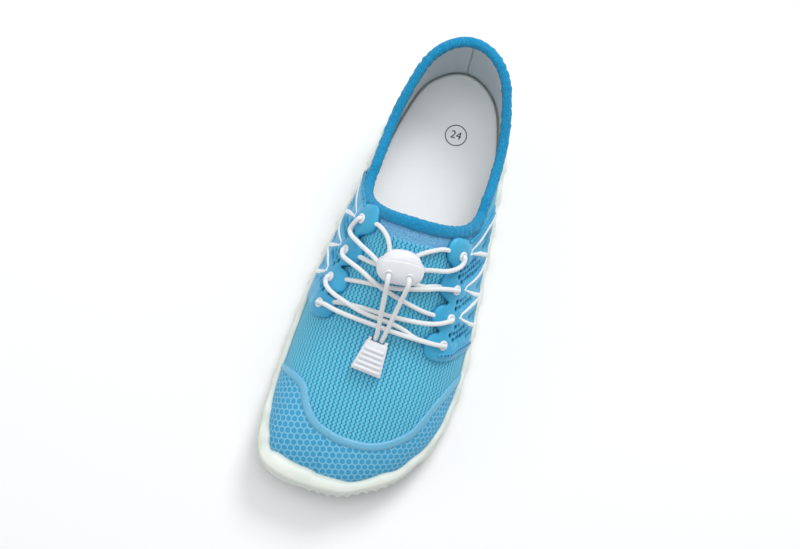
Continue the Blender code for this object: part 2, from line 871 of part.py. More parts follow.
def make_outsole(look, shoe, cutters):
    """The sole: its plate, the rim up around the upper, the toe bumper, and the lugs."""
    s = RING_STATION
    lateral = RING_LATERAL
    under = floor_line(s) + LUG_HEIGHT
    under = under + ARCH_RISE * np.exp(-(((s - 0.40) / 0.10) ** 2))
    bed = bed_height(s)
    top = rim_top(s, lateral)
    wall = rim_thickness(s, lateral)
    levels = (
        (4.5 * MM, under),
        (1.2 * MM, under + 1.2 * MM),
        (0.0, under + 3.6 * MM),
        (0.1 * MM, top - 2.0 * MM),
        (0.9 * MM, top - 0.3 * MM),
        (wall - 0.3 * MM, top),
        (wall, top - 0.6 * MM),
        (wall, bed),
    )
    points = []
    for amount, height in levels:
        ring = inset_ring(np.broadcast_to(amount, s.shape))
        if height is bed:
            height = bed_height(station_of(ring[:, 1]))
        points.append(np.column_stack([ring, np.broadcast_to(height, s.shape)]))
    count = len(s)
    faces = ring_faces(len(levels), count, closed=False)
    faces += ladder(points[0], 0, PAIRS, True)
    faces += ladder(points[-1], (len(levels) - 1) * count, PAIRS, False)
    mesh = mesh_of("outsole", np.vstack(points), faces)
    sole = new_object("outsole", mesh, look, shoe)
    lugs = []
    for lateral_side in (True, False):
        for number, station in enumerate(SIDE_LUGS):
            lugs.append(side_lug(station, lateral_side, number, cutters))
    for number, row in enumerate(TREAD):
        lugs.append(tread_lug(row, number, cutters))
    for lug in lugs:
        boolean(sole, lug, "UNION")
        drop(lug)
    return sole


def side_lug(station, lateral, number, cutters):
    """A claw that rises from the tread up the side wall, leaning toward the toe."""
    index = side_points(lateral)
    s = station_of(DENSE[index][:, 1])
    order = np.argsort(s, kind="stable")

    def at(where, inset, height):
        k = index[order][min(np.searchsorted(s[order], where), len(index) - 1)]
        p = DENSE[k] - DENSE_NORMAL[k] * inset
        return (p[0], p[1], height)

    low = float(floor_line(station))
    front = float(floor_line(min(station + 0.018, 0.99)))
    size = 0.022 if station < 0.9 else 0.014
    tall = float(rim_top(station, lateral) - floor_line(station)) - 3.2 * MM
    points = (
        at(station - size, 7.0 * MM, low),
        at(station + size * 0.6, 7.0 * MM, front),
        at(station - size, 1.4 * MM, low),
        at(station + size * 0.6, 1.4 * MM, front),
        at(station - size * 0.95, -0.1 * MM, low + 2.6 * MM),
        at(station + size * 0.7, -0.6 * MM, front + 2.6 * MM),
        at(station + size * 0.9, -0.8 * MM, front + 0.62 * tall),
        at(station + size * 1.15, -0.2 * MM, front + tall),
        at(station + size * 0.8, 0.6 * MM, front + tall),
        at(station - size, 5.0 * MM, low + LUG_HEIGHT + 0.9 * MM),
        at(station + size * 0.6, 5.0 * MM, front + LUG_HEIGHT + 0.9 * MM),
    )
    side = "lateral" if lateral else "medial"
    return hull(f"lug_{side}_{number}", points, cutters)


def tread_lug(row, number, cutters):
    """A leaf-shaped block under the sole."""
    station, offset, half_length, half_width, turn = row
    a = half_length * LENGTH
    b = half_width * BALL_WIDTH
    outline = ((-b, 0.3 * a), (-0.5 * b, -0.6 * a), (0.0, -a), (0.5 * b, -0.6 * a))
    outline += ((b, 0.3 * a), (0.45 * b, 0.55 * a), (0.0, 0.25 * a), (-0.45 * b, 0.55 * a))
    angle = math.radians(turn)
    cos, sin = math.cos(angle), math.sin(angle)
    low = float(floor_line(station))
    high = float(floor_line(station)) + LUG_HEIGHT + 2.2 * MM
    placed = []
    for x, y in outline:
        across = offset * BALL_WIDTH + x * cos - y * sin
        ahead = float(y_of(station)) + x * sin + y * cos
        placed.append((across, ahead))
    item = prism(f"tread_{number}", placed, low, high, cutters)
    return item


def rim_cutter(cutters):
    """The place of the sole and its rim, a clearance wider, to cut overlays off above it."""
    s = RING_STATION
    top = rim_top(s, RING_LATERAL) + CLEARANCE
    points = []
    for amount, height in ((-8.0 * MM, -0.01), (-8.0 * MM, None), (0.0, None)):
        ring = inset_ring(np.full(len(s), amount))
        points.append(np.column_stack([ring, np.full(len(s), height) if height else top]))
    inner = inset_ring(rim_thickness(s, RING_LATERAL) + 6.0 * MM)
    points.append(np.column_stack([inner, top]))
    count = len(s)
    faces = ring_faces(4, count, closed=False)
    faces += ladder(points[0], 0, PAIRS, True)
    faces += ladder(points[-1], 3 * count, PAIRS, False)
    item = new_object("rim_place", mesh_of("rim_place", np.vstack(points), faces), None, cutters)
    item.hide_render = True
    item.display_type = "WIRE"
    return item


def make_insole(look, shoe):
    """The footbed, inside the upper's foot line."""
    s = RING_STATION
    inset = rim_thickness(s, RING_LATERAL) + UPPER_WALL + 5.6 * CLEARANCE
    points = []
    for extra, height in ((0.0, 0.0), (0.2 * MM, INSOLE_THICKNESS - 0.8 * MM),
                          (1.2 * MM, INSOLE_THICKNESS)):
        ring = inset_ring(inset + extra)
        bed = bed_height(station_of(ring[:, 1])) + CLEARANCE
        points.append(np.column_stack([ring, bed + height]))
    count = len(s)
    faces = ring_faces(3, count, closed=False)
    faces += ladder(points[0], 0, PAIRS, True)
    faces += ladder(points[-1], 2 * count, PAIRS, False)
    return new_object("insole", mesh_of("insole", np.vstack(points), faces), look, shoe)


def make_upper(look, shoe):
    """The hollow sock: open at the collar and at the foot line."""
    return shell("upper", -UPPER_WALL, 0.0, (0, UPPER_ROWS), look, shoe)


def make_binding(look, shoe):
    """The padded roll on the collar's edge."""
    edge = GRID[-1]
    up = GRID[-1] - GRID[-2]
    up /= np.linalg.norm(up, axis=1)[:, None]
    out = NORMALS[-1]
    side = (0.60, 1.0, 1.0, 0.52, -0.52, -1.0, -1.0, -0.60)
    rise = (0.0, 0.22, 0.66, 1.0, 1.0, 0.66, 0.22, 0.0)
    rings = []
    for a, b in zip(side, rise):
        lift = 2.0 * CLEARANCE + b * BINDING_WIDTH
        across = -UPPER_WALL / 2 + a * BINDING_THICKNESS / 2
        rings.append(edge + up * lift + out * across)
    faces = ring_faces(len(side), len(edge))
    mesh = mesh_of("collar_binding", np.vstack(rings), faces)
    return new_object("collar_binding", mesh, look, shoe)


def plan(table):
    """Table rows of station and offset as X and Y."""
    return [(row[1] * BALL_WIDTH, float(y_of(row[0]))) for row in table]


def inset_polygon(points, amount):
    """A polygon with each side moved inward by the amount."""
    p = np.array(points, float)
    ahead = np.roll(p, -1, axis=0) - p
    ahead /= np.linalg.norm(ahead, axis=1)[:, None]
    area = (p[:, 0] * np.roll(p[:, 1], -1) - np.roll(p[:, 0], -1) * p[:, 1]).sum()
    inward = np.stack([-ahead[:, 1], ahead[:, 0]], axis=1) * (1.0 if area > 0 else -1.0)
    corner = inward + np.roll(inward, 1, axis=0)
    corner /= np.maximum((corner ** 2).sum(axis=1) / 2, 0.6)[:, None]
    return [tuple(q) for q in p + corner * amount]


def make_cage(side, look, shoe, cutters):
    """One half of the moulded cage: the side panel, its windows and the four thick tabs."""
    lateral = side == "lateral"
    table = LATERAL_CAGE if lateral else MEDIAL_CAGE
    inner = CLEARANCE
    name = f"cage_{side}"
    body = shell(name, inner, inner + CAGE_THICKNESS, (0, UPPER_ROWS), look, shoe)
    rim = rim_cutter(cutters)
    boolean(body, rim, "DIFFERENCE")
    drop(rim)
    outline = prism("outline", plan(table), -0.01, 0.2, cutters)
    boolean(body, outline, "INTERSECT")
    drop(outline)
    outline = prism("outline", inset_polygon(plan(table), TAB_STEP), -0.01, 0.2, cutters)
    for number, row in enumerate(EYELETS):
        x = (row[2] if lateral else row[1]) * BALL_WIDTH
        y = float(y_of(row[0] + (EYELET_LEAD if lateral else 0.0)))
        half = TAB_HALF_LENGTH * LENGTH
        sign = 1.0 if lateral else -1.0
        near = x - sign * 14 * MM
        far = x + sign * TAB_REACH
        pad = prism(
            f"pad_{number}",
            ((near, y - half), (near, y + half), (far, y + half), (far + sign * 1.5 * MM, y),
             (far, y - half)),
            0.0, 0.2, cutters,
        )
        inside = inner + (0.40 + 0.04 * number) * MM
        rows = (1, UPPER_ROWS)
        thick = inner + TAB_THICKNESS - 0.03 * MM * (number % 2)
        tab = shell("tab", inside, thick, rows, look, cutters, 0.65)
        boolean(pad, outline, "INTERSECT")
        boolean(tab, pad, "INTERSECT")
        drop(pad)
        boolean(body, tab, "UNION")
        drop(tab)
    drop(outline)
    for number, row in enumerate(EYELETS):
        centre, turn = eyelet_place(row, lateral)
        hole = cylinder(f"hole_{number}", EYELET_BORE + 0.55 * MM, 14 * MM, 8, cutters)
        hole.data.transform(Matrix.Translation(centre) @ turn)
        boolean(body, hole, "DIFFERENCE")
        drop(hole)
    for number, row in enumerate(WINDOWS):
        window = window_cutter(row, lateral, number, cutters)
        boolean(body, window, "DIFFERENCE")
        drop(window)
    return body


def window_cutter(row, lateral, number, cutters):
    """A rounded slanted opening, cut straight in from the side."""
    station, height, half_length, half_height, lean = row
    a = half_length * LENGTH
    b = half_height * LENGTH
    outline = []
    for k in range(8):
        t = 2 * math.pi * (k + 0.5) / 8
        x = math.copysign(abs(math.cos(t)) ** 0.7, math.cos(t)) * a
        z = math.copysign(abs(math.sin(t)) ** 0.7, math.sin(t)) * b
        outline.append((x + z * math.tan(math.radians(lean)), z))
    sign = 1.0 if lateral else -1.0
    centre = Vector((sign * 0.40 * BALL_WIDTH, float(y_of(station)), height * LENGTH))
    across = Vector((0.0, -1.0, 0.0))
    tilt = math.radians(30)
    out = Vector((sign * math.cos(tilt), 0.0, math.sin(tilt)))
    up = out.cross(across) * (-1 if lateral else 1)
    up = up if up.z > 0 else -up
    matrix = Matrix((
        (across.x, up.x, out.x, centre.x),
        (across.y, up.y, out.y, centre.y),
        (across.z, up.z, out.z, centre.z),
        (0, 0, 0, 1),
    ))
    return prism(f"window_{number}", outline, -0.02, 0.03, cutters, matrix)


def cylinder(name, radius, length, segments, collection):
    """A cylinder along Z about the origin, as a cutter."""
    mesh = bpy.data.meshes.new(name)
    work = bmesh.new()
    bmesh.ops.create_cone(
        work, cap_ends=True, segments=segments, radius1=radius, radius2=radius, depth=length
    )
    work.to_mesh(mesh)
    work.free()
    item = new_object(name, mesh, None, collection)
    item.display_type = "WIRE"
    item.hide_render = True
    return item


def eyelet_place(row, lateral):
    """An eyelet's centre on its tab's top, and the turn that stands Z on the tab."""
    x = (row[2] if lateral else row[1]) * BALL_WIDTH
    y = float(y_of(row[0] + (EYELET_LEAD if lateral else 0.0)))
    normal = last_normal(x, y)
    foot = Vector((x, y, last_height(x, y)))
    centre = foot + normal * (CLEARANCE + TAB_THICKNESS)
    return centre, normal.to_track_quat("Z", "Y").to_matrix().to_4x4()


def lathe(name, profile, segments, look, collection, matrix):
    """A solid of revolution about Z through a closed profile of radius and height."""
    points = []
    for k in range(segments):
        t = 2 * math.pi * k / segments
        for radius, height in profile:
            points.append((radius * math.cos(t), radius * math.sin(t), height))
    count = len(profile)
    faces = ring_faces(segments, count)
    mesh = mesh_of(name, points, faces)
    mesh.transform(matrix)
    return new_object(name, mesh, look, collection)


def make_eyelet(name, row, lateral, look, shoe):
    """A flanged ring standing on its tab, its barrel in the tab's hole."""
    centre, turn = eyelet_place(row, lateral)
    r = EYELET_RADIUS
    bore = EYELET_BORE
    low = 0.45 * MM
    profile = (
        (bore, -1.2 * MM),
        (bore + 0.25 * MM, -1.2 * MM),
        (bore + 0.25 * MM, low),
        (r, low),
        (r - 0.7 * MM, low + EYELET_HEIGHT),
        (bore, low + 0.6 * EYELET_HEIGHT),
    )
    return lathe(name, profile, 8, look, shoe, Matrix.Translation(centre) @ turn)


def make_toe_band(look, shoe, cutters):
    """The welded stripe across the toe box."""
    centre = spline_through(plan(TOE_BAND), 1, False)
    ahead = np.gradient(centre, axis=0)
    side = np.stack([-ahead[:, 1], ahead[:, 0]], axis=1)
    side /= np.linalg.norm(side, axis=1)[:, None]
    half = BAND_WIDTH / 2
    outline = np.vstack([centre + side * half, (centre - side * half)[::-1]])
    cutter = prism("stripe", [tuple(p) for p in outline], 0.0, 0.2, cutters)
    band = shell("toe_band", CLEARANCE, CLEARANCE + BAND_THICKNESS, (0, UPPER_ROWS), look, shoe)
    boolean(band, cutter, "INTERSECT")
    drop(cutter)
    rim = rim_cutter(cutters)
    boolean(band, rim, "DIFFERENCE")
    drop(rim)
    return band


def tube(name, route, look, collection, sides=8):
    """A round cord along a route, its ends closed."""
    path = np.array(route, float)
    ahead = np.gradient(path, axis=0)
    ahead /= np.linalg.norm(ahead, axis=1)[:, None]
    across = np.cross(ahead[0], (0.0, 0.0, 1.0))
    across /= np.linalg.norm(across)
    points = []
    for p, t in zip(path, ahead):
        across = across - t * np.dot(across, t)
        across /= np.linalg.norm(across)
        rise = np.cross(t, across)
        for k in range(sides):
            angle = 2 * math.pi * (k + 0.5) / sides
            points.append(p + (across * math.cos(angle) + rise * math.sin(angle)) * LACE_RADIUS)
    count = len(path)
    faces = ring_faces(count, sides, closed=False)
    faces.append(tuple(range(sides)))
    faces.append(tuple(range((count - 1) * sides, count * sides)))
    return new_object(name, mesh_of(name, points, faces), look, collection)


def over_upper(station, offset, lift):
    """A point over the upper's surface, lifted along its outward direction."""
    x = offset * BALL_WIDTH
    y = float(y_of(station))
    foot = Vector((x, y, last_height(x, y)))
    return tuple(foot + last_normal(x, y) * lift * MM)


def lace_route(rows, step=5.4 * MM):
    """A run's centre line at even steps."""
    fine = spline_through([over_upper(*row) for row in rows], 16, False)
    length = np.r_[0, np.cumsum(np.linalg.norm(np.diff(fine, axis=0), axis=1))]
    count = max(6, int(round(length[-1] / step)))
    wanted = np.linspace(0, length[-1], count + 1)
    return np.stack([np.interp(wanted, length, fine[:, k]) for k in range(3)], axis=1)


def make_lacing(look, shoe):
    """The lace's crossings over the vamp, each group joined where its runs lie on each other."""
    for group, names in LACE_GROUPS.items():
        joined = tube(group, lace_route(LACE_RUNS[names[0]]), look, shoe, sides=6)
        for name in names[1:]:
            run = tube(name, lace_route(LACE_RUNS[name]), look, shoe, sides=6)
            boolean(joined, run, "UNION")
            drop(run)
    for name in ("lead_medial", "lead_lateral"):
        tube(f"lace_{name}", lace_route(LACE_RUNS[name]), look, shoe, sides=6)


def lock_frame():
    """The lock's place: X across the shoe, Y toward the heel along the vamp, Z off the vamp."""
    x = LOCK_OFFSET
    y = float(y_of(LOCK_STATION))
    normal = last_normal(0.25 * x, y)
    base = Vector((x, y, last_height(x, y))) + normal * LOCK_LIFT
    across = Vector((1.0, 0.0, 0.0))
    across = (across - normal * across.dot(normal)).normalized()
    up = normal.cross(across).normalized()
    turn = Matrix((
        (across.x, up.x, normal.x, 0), (across.y, up.y, normal.y, 0),
        (across.z, up.z, normal.z, 0), (0, 0, 0, 1),
    ))
    return Matrix.Translation(base) @ turn @ Matrix.Rotation(LOCK_TURN, 4, "Z")


def pillow(name, half_x, half_y, thickness, power, look, collection, matrix):
    """A rounded slab: an oval drawn in at its top and bottom."""
    count = 16
    levels = ((0.72, 0.0), (0.92, 0.10), (1.0, 0.30), (1.0, 0.68), (0.92, 0.90), (0.70, 1.0))
    points = []
    for grow, height in levels:
        for k in range(count):
            t = 2 * math.pi * k / count
            cos, sin = math.cos(t), math.sin(t)
            x = math.copysign(abs(cos) ** power, cos) * (half_x - (1 - grow) * half_y)
            y = math.copysign(abs(sin) ** power, sin) * half_y * grow
            points.append((x, y, height * thickness))
    faces = ring_faces(len(levels), count, closed=False)
    faces.append(tuple(range(count)))
    faces.append(tuple(range((len(levels) - 1) * count, len(levels) * count)))
    mesh = mesh_of(name, points, faces)
    mesh.transform(matrix)
    return new_object(name, mesh, look, collection)


def make_lock(look, shoe, cutters):
    """The cord lock: a hollow body toward the toe, and the sprung button on its heel side."""
    place = lock_frame()
    split = LOCK_LENGTH * (0.5 - BUTTON_SHARE)
    wide = LOCK_WIDTH
    body = pillow("lock_body", wide / 2, LOCK_LENGTH / 2, LOCK_THICKNESS, 0.85, look, shoe, place)
    button = pillow("lock_button", wide / 2, LOCK_LENGTH / 2, LOCK_THICKNESS, 0.85, look, shoe,
                    place)
    outline = ((-wide, split), (wide, split), (wide, wide), (-wide, wide))
    back = prism("back", outline, -0.05, 0.05, cutters, place)
    boolean(body, back, "DIFFERENCE")
    drop(back)
    gap = split + BUTTON_TRAVEL + CLEARANCE
    outline = ((-wide, -wide), (wide, -wide), (wide, gap), (-wide, gap))
    front = prism("front", outline, -0.05, 0.05, cutters, place)
    boolean(button, front, "DIFFERENCE")
    drop(front)
    # The body's pocket, and the button's plunger in it
    half = POCKET_HALF
    mid = POCKET_CENTRE
    low, high = LOCK_THICKNESS * 0.24, LOCK_THICKNESS * 0.76
    floor = split - POCKET_DEPTH
    pocket = prism(
        "pocket",
        ((mid - half, floor), (mid + half, floor), (mid + half, wide), (mid - half, wide)),
        low, high,
        cutters, place,
    )
    boolean(body, pocket, "DIFFERENCE")
    drop(pocket)
    half -= CLEARANCE
    tongue = prism(
        "plunger",
        ((mid - half, gap - PLUNGER_REACH), (mid + half, gap - PLUNGER_REACH),
         (mid + half, gap + 1.5 * MM), (mid - half, gap + 1.5 * MM)),
        low + CLEARANCE, high - CLEARANCE, cutters, place,
    )
    boolean(button, tongue, "UNION")
    drop(tongue)
    for number, x in enumerate(LOCK_HOLES):
        hole = cylinder(f"lock_hole_{number}", LACE_RADIUS + CLEARANCE, 30 * MM, 8, cutters)
        hole.data.transform(place @ Matrix.Translation((x, LOCK_HOLE_Y, 0.0)))
        boolean(body, hole, "DIFFERENCE")
        drop(hole)
    return body, button


def clip_frame():
    """The clip's place on the vamp: Y toward the heel, Z off the vamp."""
    x = CLIP_OFFSET
    y = float(y_of(CLIP_STATION))
    normal = last_normal(x, y)
    base = Vector((x, y, last_height(x, y))) + normal * CLIP_LIFT
    across = Vector((1.0, 0.0, 0.0))
    across = (across - normal * across.dot(normal)).normalized()
    up = normal.cross(across).normalized()
    turn = Matrix((
        (across.x, up.x, normal.x, 0), (across.y, up.y, normal.y, 0),
        (across.z, up.z, normal.z, 0), (0, 0, 0, 1),
    ))
    return Matrix.Translation(base) @ turn @ Matrix.Rotation(CLIP_TURN, 4, "Z")


def make_clip(look, shoe, cutters):
    """The clip on the lace's ends: a tapered block with cross ribs."""
    place = clip_frame()
    w, t, l = CLIP_WIDTH / 2, CLIP_TOP_WIDTH / 2, CLIP_LENGTH / 2
    e = 0.7 * MM
    points = []
    for height, inset in ((0.0, e), (e, 0.0), (CLIP_THICKNESS * 0.62, 0.0),
                          (CLIP_THICKNESS * 0.80, 1.2 * MM)):
        points += [
            place @ Vector(p) for p in (
                (-w + inset, -l + inset, height), (w - inset, -l + inset, height),
                (t - inset, l - inset, height), (-t + inset, l - inset, height),
            )
        ]
    clip = hull("lace_clip", points, shoe)
    clip.display_type = "TEXTURED"
    clip.hide_render = False
    clip.data.materials.append(look)
    for number in range(CLIP_RIBS):
        y = -l + (number + 1.0) * CLIP_LENGTH / (CLIP_RIBS + 1.0)
        reach = w + (t - w) * (y + l) / (2 * l) - 1.0 * MM
        a = 0.75 * MM
        rib = [
            place @ Vector((sx * reach, y + sy * a, z * CLIP_THICKNESS))
            for sx in (-1, 1) for sy, z in ((-1.6, 0.6), (1.6, 0.6), (-0.6, 1.0), (0.6, 1.0))
        ]
        piece = hull(f"rib_{number}", rib, cutters)
        boolean(clip, piece, "UNION")
        drop(piece)
    return clip


def make_lace_ends(look, shoe):
    """The two free ends, from the lock's holes down to the clip."""
    lock = lock_frame()
    clip = clip_frame()
    top = CLIP_LENGTH / 2
    for number, (name, x) in enumerate(zip(("lace_end_medial", "lace_end_lateral"), LOCK_HOLES)):
        sign = -1.0 if number == 0 else 1.0
        start = lock @ Vector((x, LOCK_HOLE_Y, LOCK_THICKNESS + 0.8 * MM))
        rise = lock @ Vector((x, LOCK_HOLE_Y - 0.9 * MM, LOCK_THICKNESS + 2.2 * MM))
        over = lock @ Vector((x, LOCK_HOLE_Y - 3.4 * MM, LOCK_THICKNESS + 2.5 * MM))
        end = clip @ Vector((sign * 1.7 * MM, top + 1.2 * MM, CLIP_THICKNESS * 0.50))
        near = clip @ Vector((sign * 1.9 * MM, top + 4.0 * MM, CLIP_THICKNESS * 0.84))
        middle = []
        for t in (0.3, 0.5, 0.7):
            sag = Vector((0.0, 0.0, -4 * END_SAG * t * (1 - t)))
            middle.append(over.lerp(near, t) + sag)
        route = spline_through([start, rise, over, *middle, near, end], 12, False)
        length = np.r_[0, np.cumsum(np.linalg.norm(np.diff(route, axis=0), axis=1))]
        wanted = np.linspace(0, length[-1], 14)
        path = np.stack([np.interp(wanted, length, route[:, k]) for k in range(3)], axis=1)
        tube(name, path, look, shoe, sides=6)


def main():
    shoe, cutters = clear_scene()
    rubber = material("sole_rubber", OFF_WHITE, 0.55)
    knit = material("upper_knit", SKY, 0.85)
    plush = material("collar_plush", AZURE, 0.95)
    foam = material("insole_foam", WHITE, 0.9)
    moulded = material("cage_plastic", CAGE_BLUE, 0.45)
    film = material("band_film", PALE_SKY, 0.5)
    gloss = material("white_plastic", WHITE, 0.25)
    elastic = material("white_elastic", WHITE, 0.8)
    make_outsole(rubber, shoe, cutters)
    make_insole(foam, shoe)
    make_upper(knit, shoe)
    make_binding(plush, shoe)
    make_cage("lateral", moulded, shoe, cutters)
    make_cage("medial", moulded, shoe, cutters)
    make_toe_band(film, shoe, cutters)
    for number, row in enumerate(EYELETS, 1):
        make_eyelet(f"eyelet_medial_{number}", row, False, gloss, shoe)
        make_eyelet(f"eyelet_lateral_{number}", row, True, gloss, shoe)
    make_lacing(elastic, shoe)
    make_lock(gloss, shoe, cutters)
    make_clip(gloss, shoe, cutters)
    make_lace_ends(elastic, shoe)


main()
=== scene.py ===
"""Looks of a left water shoe: knit upper, moulded cage, elastic lace and rubber sole."""

import math

import bmesh
import bpy
import numpy as np
from bpy.props import FloatProperty, FloatVectorProperty, IntProperty, PointerProperty
from mathutils import Matrix, Vector


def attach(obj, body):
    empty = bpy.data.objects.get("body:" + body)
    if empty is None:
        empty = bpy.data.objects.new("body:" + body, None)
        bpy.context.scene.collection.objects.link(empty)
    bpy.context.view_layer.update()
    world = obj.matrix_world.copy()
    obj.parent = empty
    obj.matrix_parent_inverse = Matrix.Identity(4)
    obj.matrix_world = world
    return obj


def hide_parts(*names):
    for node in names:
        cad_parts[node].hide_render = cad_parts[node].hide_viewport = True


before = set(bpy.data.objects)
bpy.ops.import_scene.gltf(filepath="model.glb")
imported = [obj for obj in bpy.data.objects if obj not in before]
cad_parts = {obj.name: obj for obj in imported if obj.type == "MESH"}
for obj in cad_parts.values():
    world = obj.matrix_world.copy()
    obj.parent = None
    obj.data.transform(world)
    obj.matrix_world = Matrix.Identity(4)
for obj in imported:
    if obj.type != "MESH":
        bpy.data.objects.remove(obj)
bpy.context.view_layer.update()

bl_info = {
    "name": "Water shoe looks",
    "version": (1, 0, 0),
    "blender": (4, 5, 0),
    "location": "View3D > Sidebar > Water shoe",
    "description": "Models and paints the left water shoe around its CAD frame",
    "category": "Object",
}

MM = 0.001

# The last's sizes, as in the part's source
LENGTH = 250 * MM
BALL_WIDTH = 97 * MM
INSTEP_HEIGHT = 79 * MM
ANKLE_HEIGHT = 56 * MM
HEEL_HEIGHT = 74 * MM
HEEL_CENTRE = 0.13
CLEARANCE = 0.3 * MM
RIM_GAP = 0.6 * MM
UPPER_WALL = 2.0 * MM
RIM_WALL = 2.2 * MM
TOE_RIM_WALL = 5.2 * MM
HEEL_THICKNESS = 11 * MM
FOREFOOT_THICKNESS = 8.5 * MM
TOE_SPRING = 10 * MM
HEEL_SPRING = 2.5 * MM
ARCH_RISE = 2.5 * MM
LUG_HEIGHT = 2.8 * MM
RIM_HEIGHT = 6.0 * MM
BUMPER_HEIGHT = 8.0 * MM
BUMPER_WAVE = 1.3 * MM
INSOLE_THICKNESS = 3.5 * MM
BINDING_WIDTH = 6.0 * MM
BINDING_THICKNESS = 5.0 * MM
TAB_THICKNESS = 3.4 * MM
BAND_WIDTH = 4.5 * MM
EYELET_RADIUS = 2.7 * MM
EYELET_BORE = 1.35 * MM
EYELET_LEAD = 0.009
LACE_RADIUS = 1.25 * MM
LOCK_WIDTH = 24.5 * MM
LOCK_LENGTH = 18 * MM
LOCK_THICKNESS = 12 * MM
LOCK_STATION = 0.525
LOCK_OFFSET = -3.5 * MM
LOCK_LIFT = 6.0 * MM
LOCK_TURN = math.radians(5.0)
LOCK_HOLES = (-5.8 * MM, 4.8 * MM)
LOCK_HOLE_Y = -3.4 * MM
BUTTON_SHARE = 0.42
BUTTON_TRAVEL = 2.5 * MM
CLIP_WIDTH = 16.5 * MM
CLIP_TOP_WIDTH = 11.5 * MM
CLIP_LENGTH = 17.0 * MM
CLIP_THICKNESS = 6 * MM
CLIP_STATION = 0.717
CLIP_OFFSET = -2.9 * MM
CLIP_LIFT = 1.0 * MM
CLIP_TURN = math.radians(-5.0)
CLIP_RIBS = 5
TOE_POINT = -0.140
TOE_CENTRE = 0.74
HEEL_PIVOT = 0.13
HEEL_ROUND = 34 * MM
THROAT_START = 0.345
THROAT_FULLNESS = 2.1
THROAT = 0.462
OUTLINE = (
    # station, medial, lateral
    (0.993, -0.330, 0.030),
    (0.975, -0.430, 0.125),
    (0.945, -0.478, 0.250),
    (0.900, -0.500, 0.350),
    (0.820, -0.512, 0.448),
    (0.700, -0.508, 0.490),
    (0.580, -0.492, 0.472),
    (0.450, -0.450, 0.436),
    (0.300, -0.390, 0.395),
    (0.160, -0.338, 0.345),
    (0.060, -0.255, 0.255),
    (0.014, -0.130, 0.130),
)
SECTIONS = (
    # station, ridge height, ridge offset, medial fullness, lateral fullness
    (0.00, 1.65, 0.000, 2.3, 2.3),
    (0.15, 1.58, 0.000, 2.3, 2.3),
    (0.30, 1.32, -0.010, 2.1, 2.0),
    (0.40, 1.12, -0.030, 1.95, 1.85),
    (0.48, 0.975, -0.040, 1.9, 1.85),
    (0.56, 0.850, -0.050, 1.95, 1.9),
    (0.66, 0.715, -0.060, 2.1, 2.05),
    (0.74, 0.630, -0.062, 2.2, 2.15),
    (0.86, 0.550, -0.062, 2.4, 2.35),
    (1.00, 0.490, -0.062, 2.4, 2.35),
)
TOPLINE = (
    # station, heel height, ankle height, instep height
    (0.000, 1.00, 0.00, 0.00),
    (0.060, 0.80, 0.22, 0.00),
    (0.150, 0.22, 0.82, 0.00),
    (0.250, 0.00, 1.00, 0.00),
    (0.320, 0.00, 0.84, 0.13),
    (0.370, 0.00, 0.50, 0.42),
    (0.420, 0.00, 0.20, 0.75),
)
LATERAL_CAGE = (
    # station, offset
    (0.250, 0.600), (0.280, 0.372), (0.350, 0.345), (0.420, 0.290), (0.440, 0.200),
    (0.458, 0.180), (0.482, 0.190), (0.497, 0.235), (0.510, 0.210), (0.530, 0.196),
    (0.549, 0.206), (0.562, 0.262), (0.573, 0.225), (0.588, 0.208), (0.608, 0.212),
    (0.622, 0.262), (0.632, 0.228), (0.648, 0.212), (0.672, 0.224), (0.682, 0.262),
    (0.668, 0.360), (0.625, 0.440), (0.585, 0.600),
)
MEDIAL_CAGE = (
    # station, offset
    (0.250, -0.620), (0.290, -0.392), (0.360, -0.350), (0.420, -0.290), (0.432, -0.216),
    (0.455, -0.200), (0.480, -0.210), (0.492, -0.272), (0.505, -0.245), (0.530, -0.232),
    (0.548, -0.245), (0.556, -0.312), (0.566, -0.280), (0.590, -0.262), (0.608, -0.278),
    (0.614, -0.338), (0.625, -0.300), (0.650, -0.288), (0.664, -0.318), (0.655, -0.400),
    (0.622, -0.450), (0.590, -0.620),
)
EYELETS = (
    # station, medial offset, lateral offset
    (0.456, -0.266, 0.244),
    (0.522, -0.302, 0.267),
    (0.580, -0.338, 0.285),
    (0.636, -0.354, 0.291),
)
TOE_BAND = (
    # station, offset
    (0.760, -0.520), (0.806, -0.345), (0.843, -0.290), (0.874, -0.222), (0.890, -0.115),
    (0.894, -0.010), (0.887, 0.115), (0.866, 0.215), (0.836, 0.295), (0.795, 0.345),
    (0.750, 0.390), (0.700, 0.440), (0.660, 0.520),
)
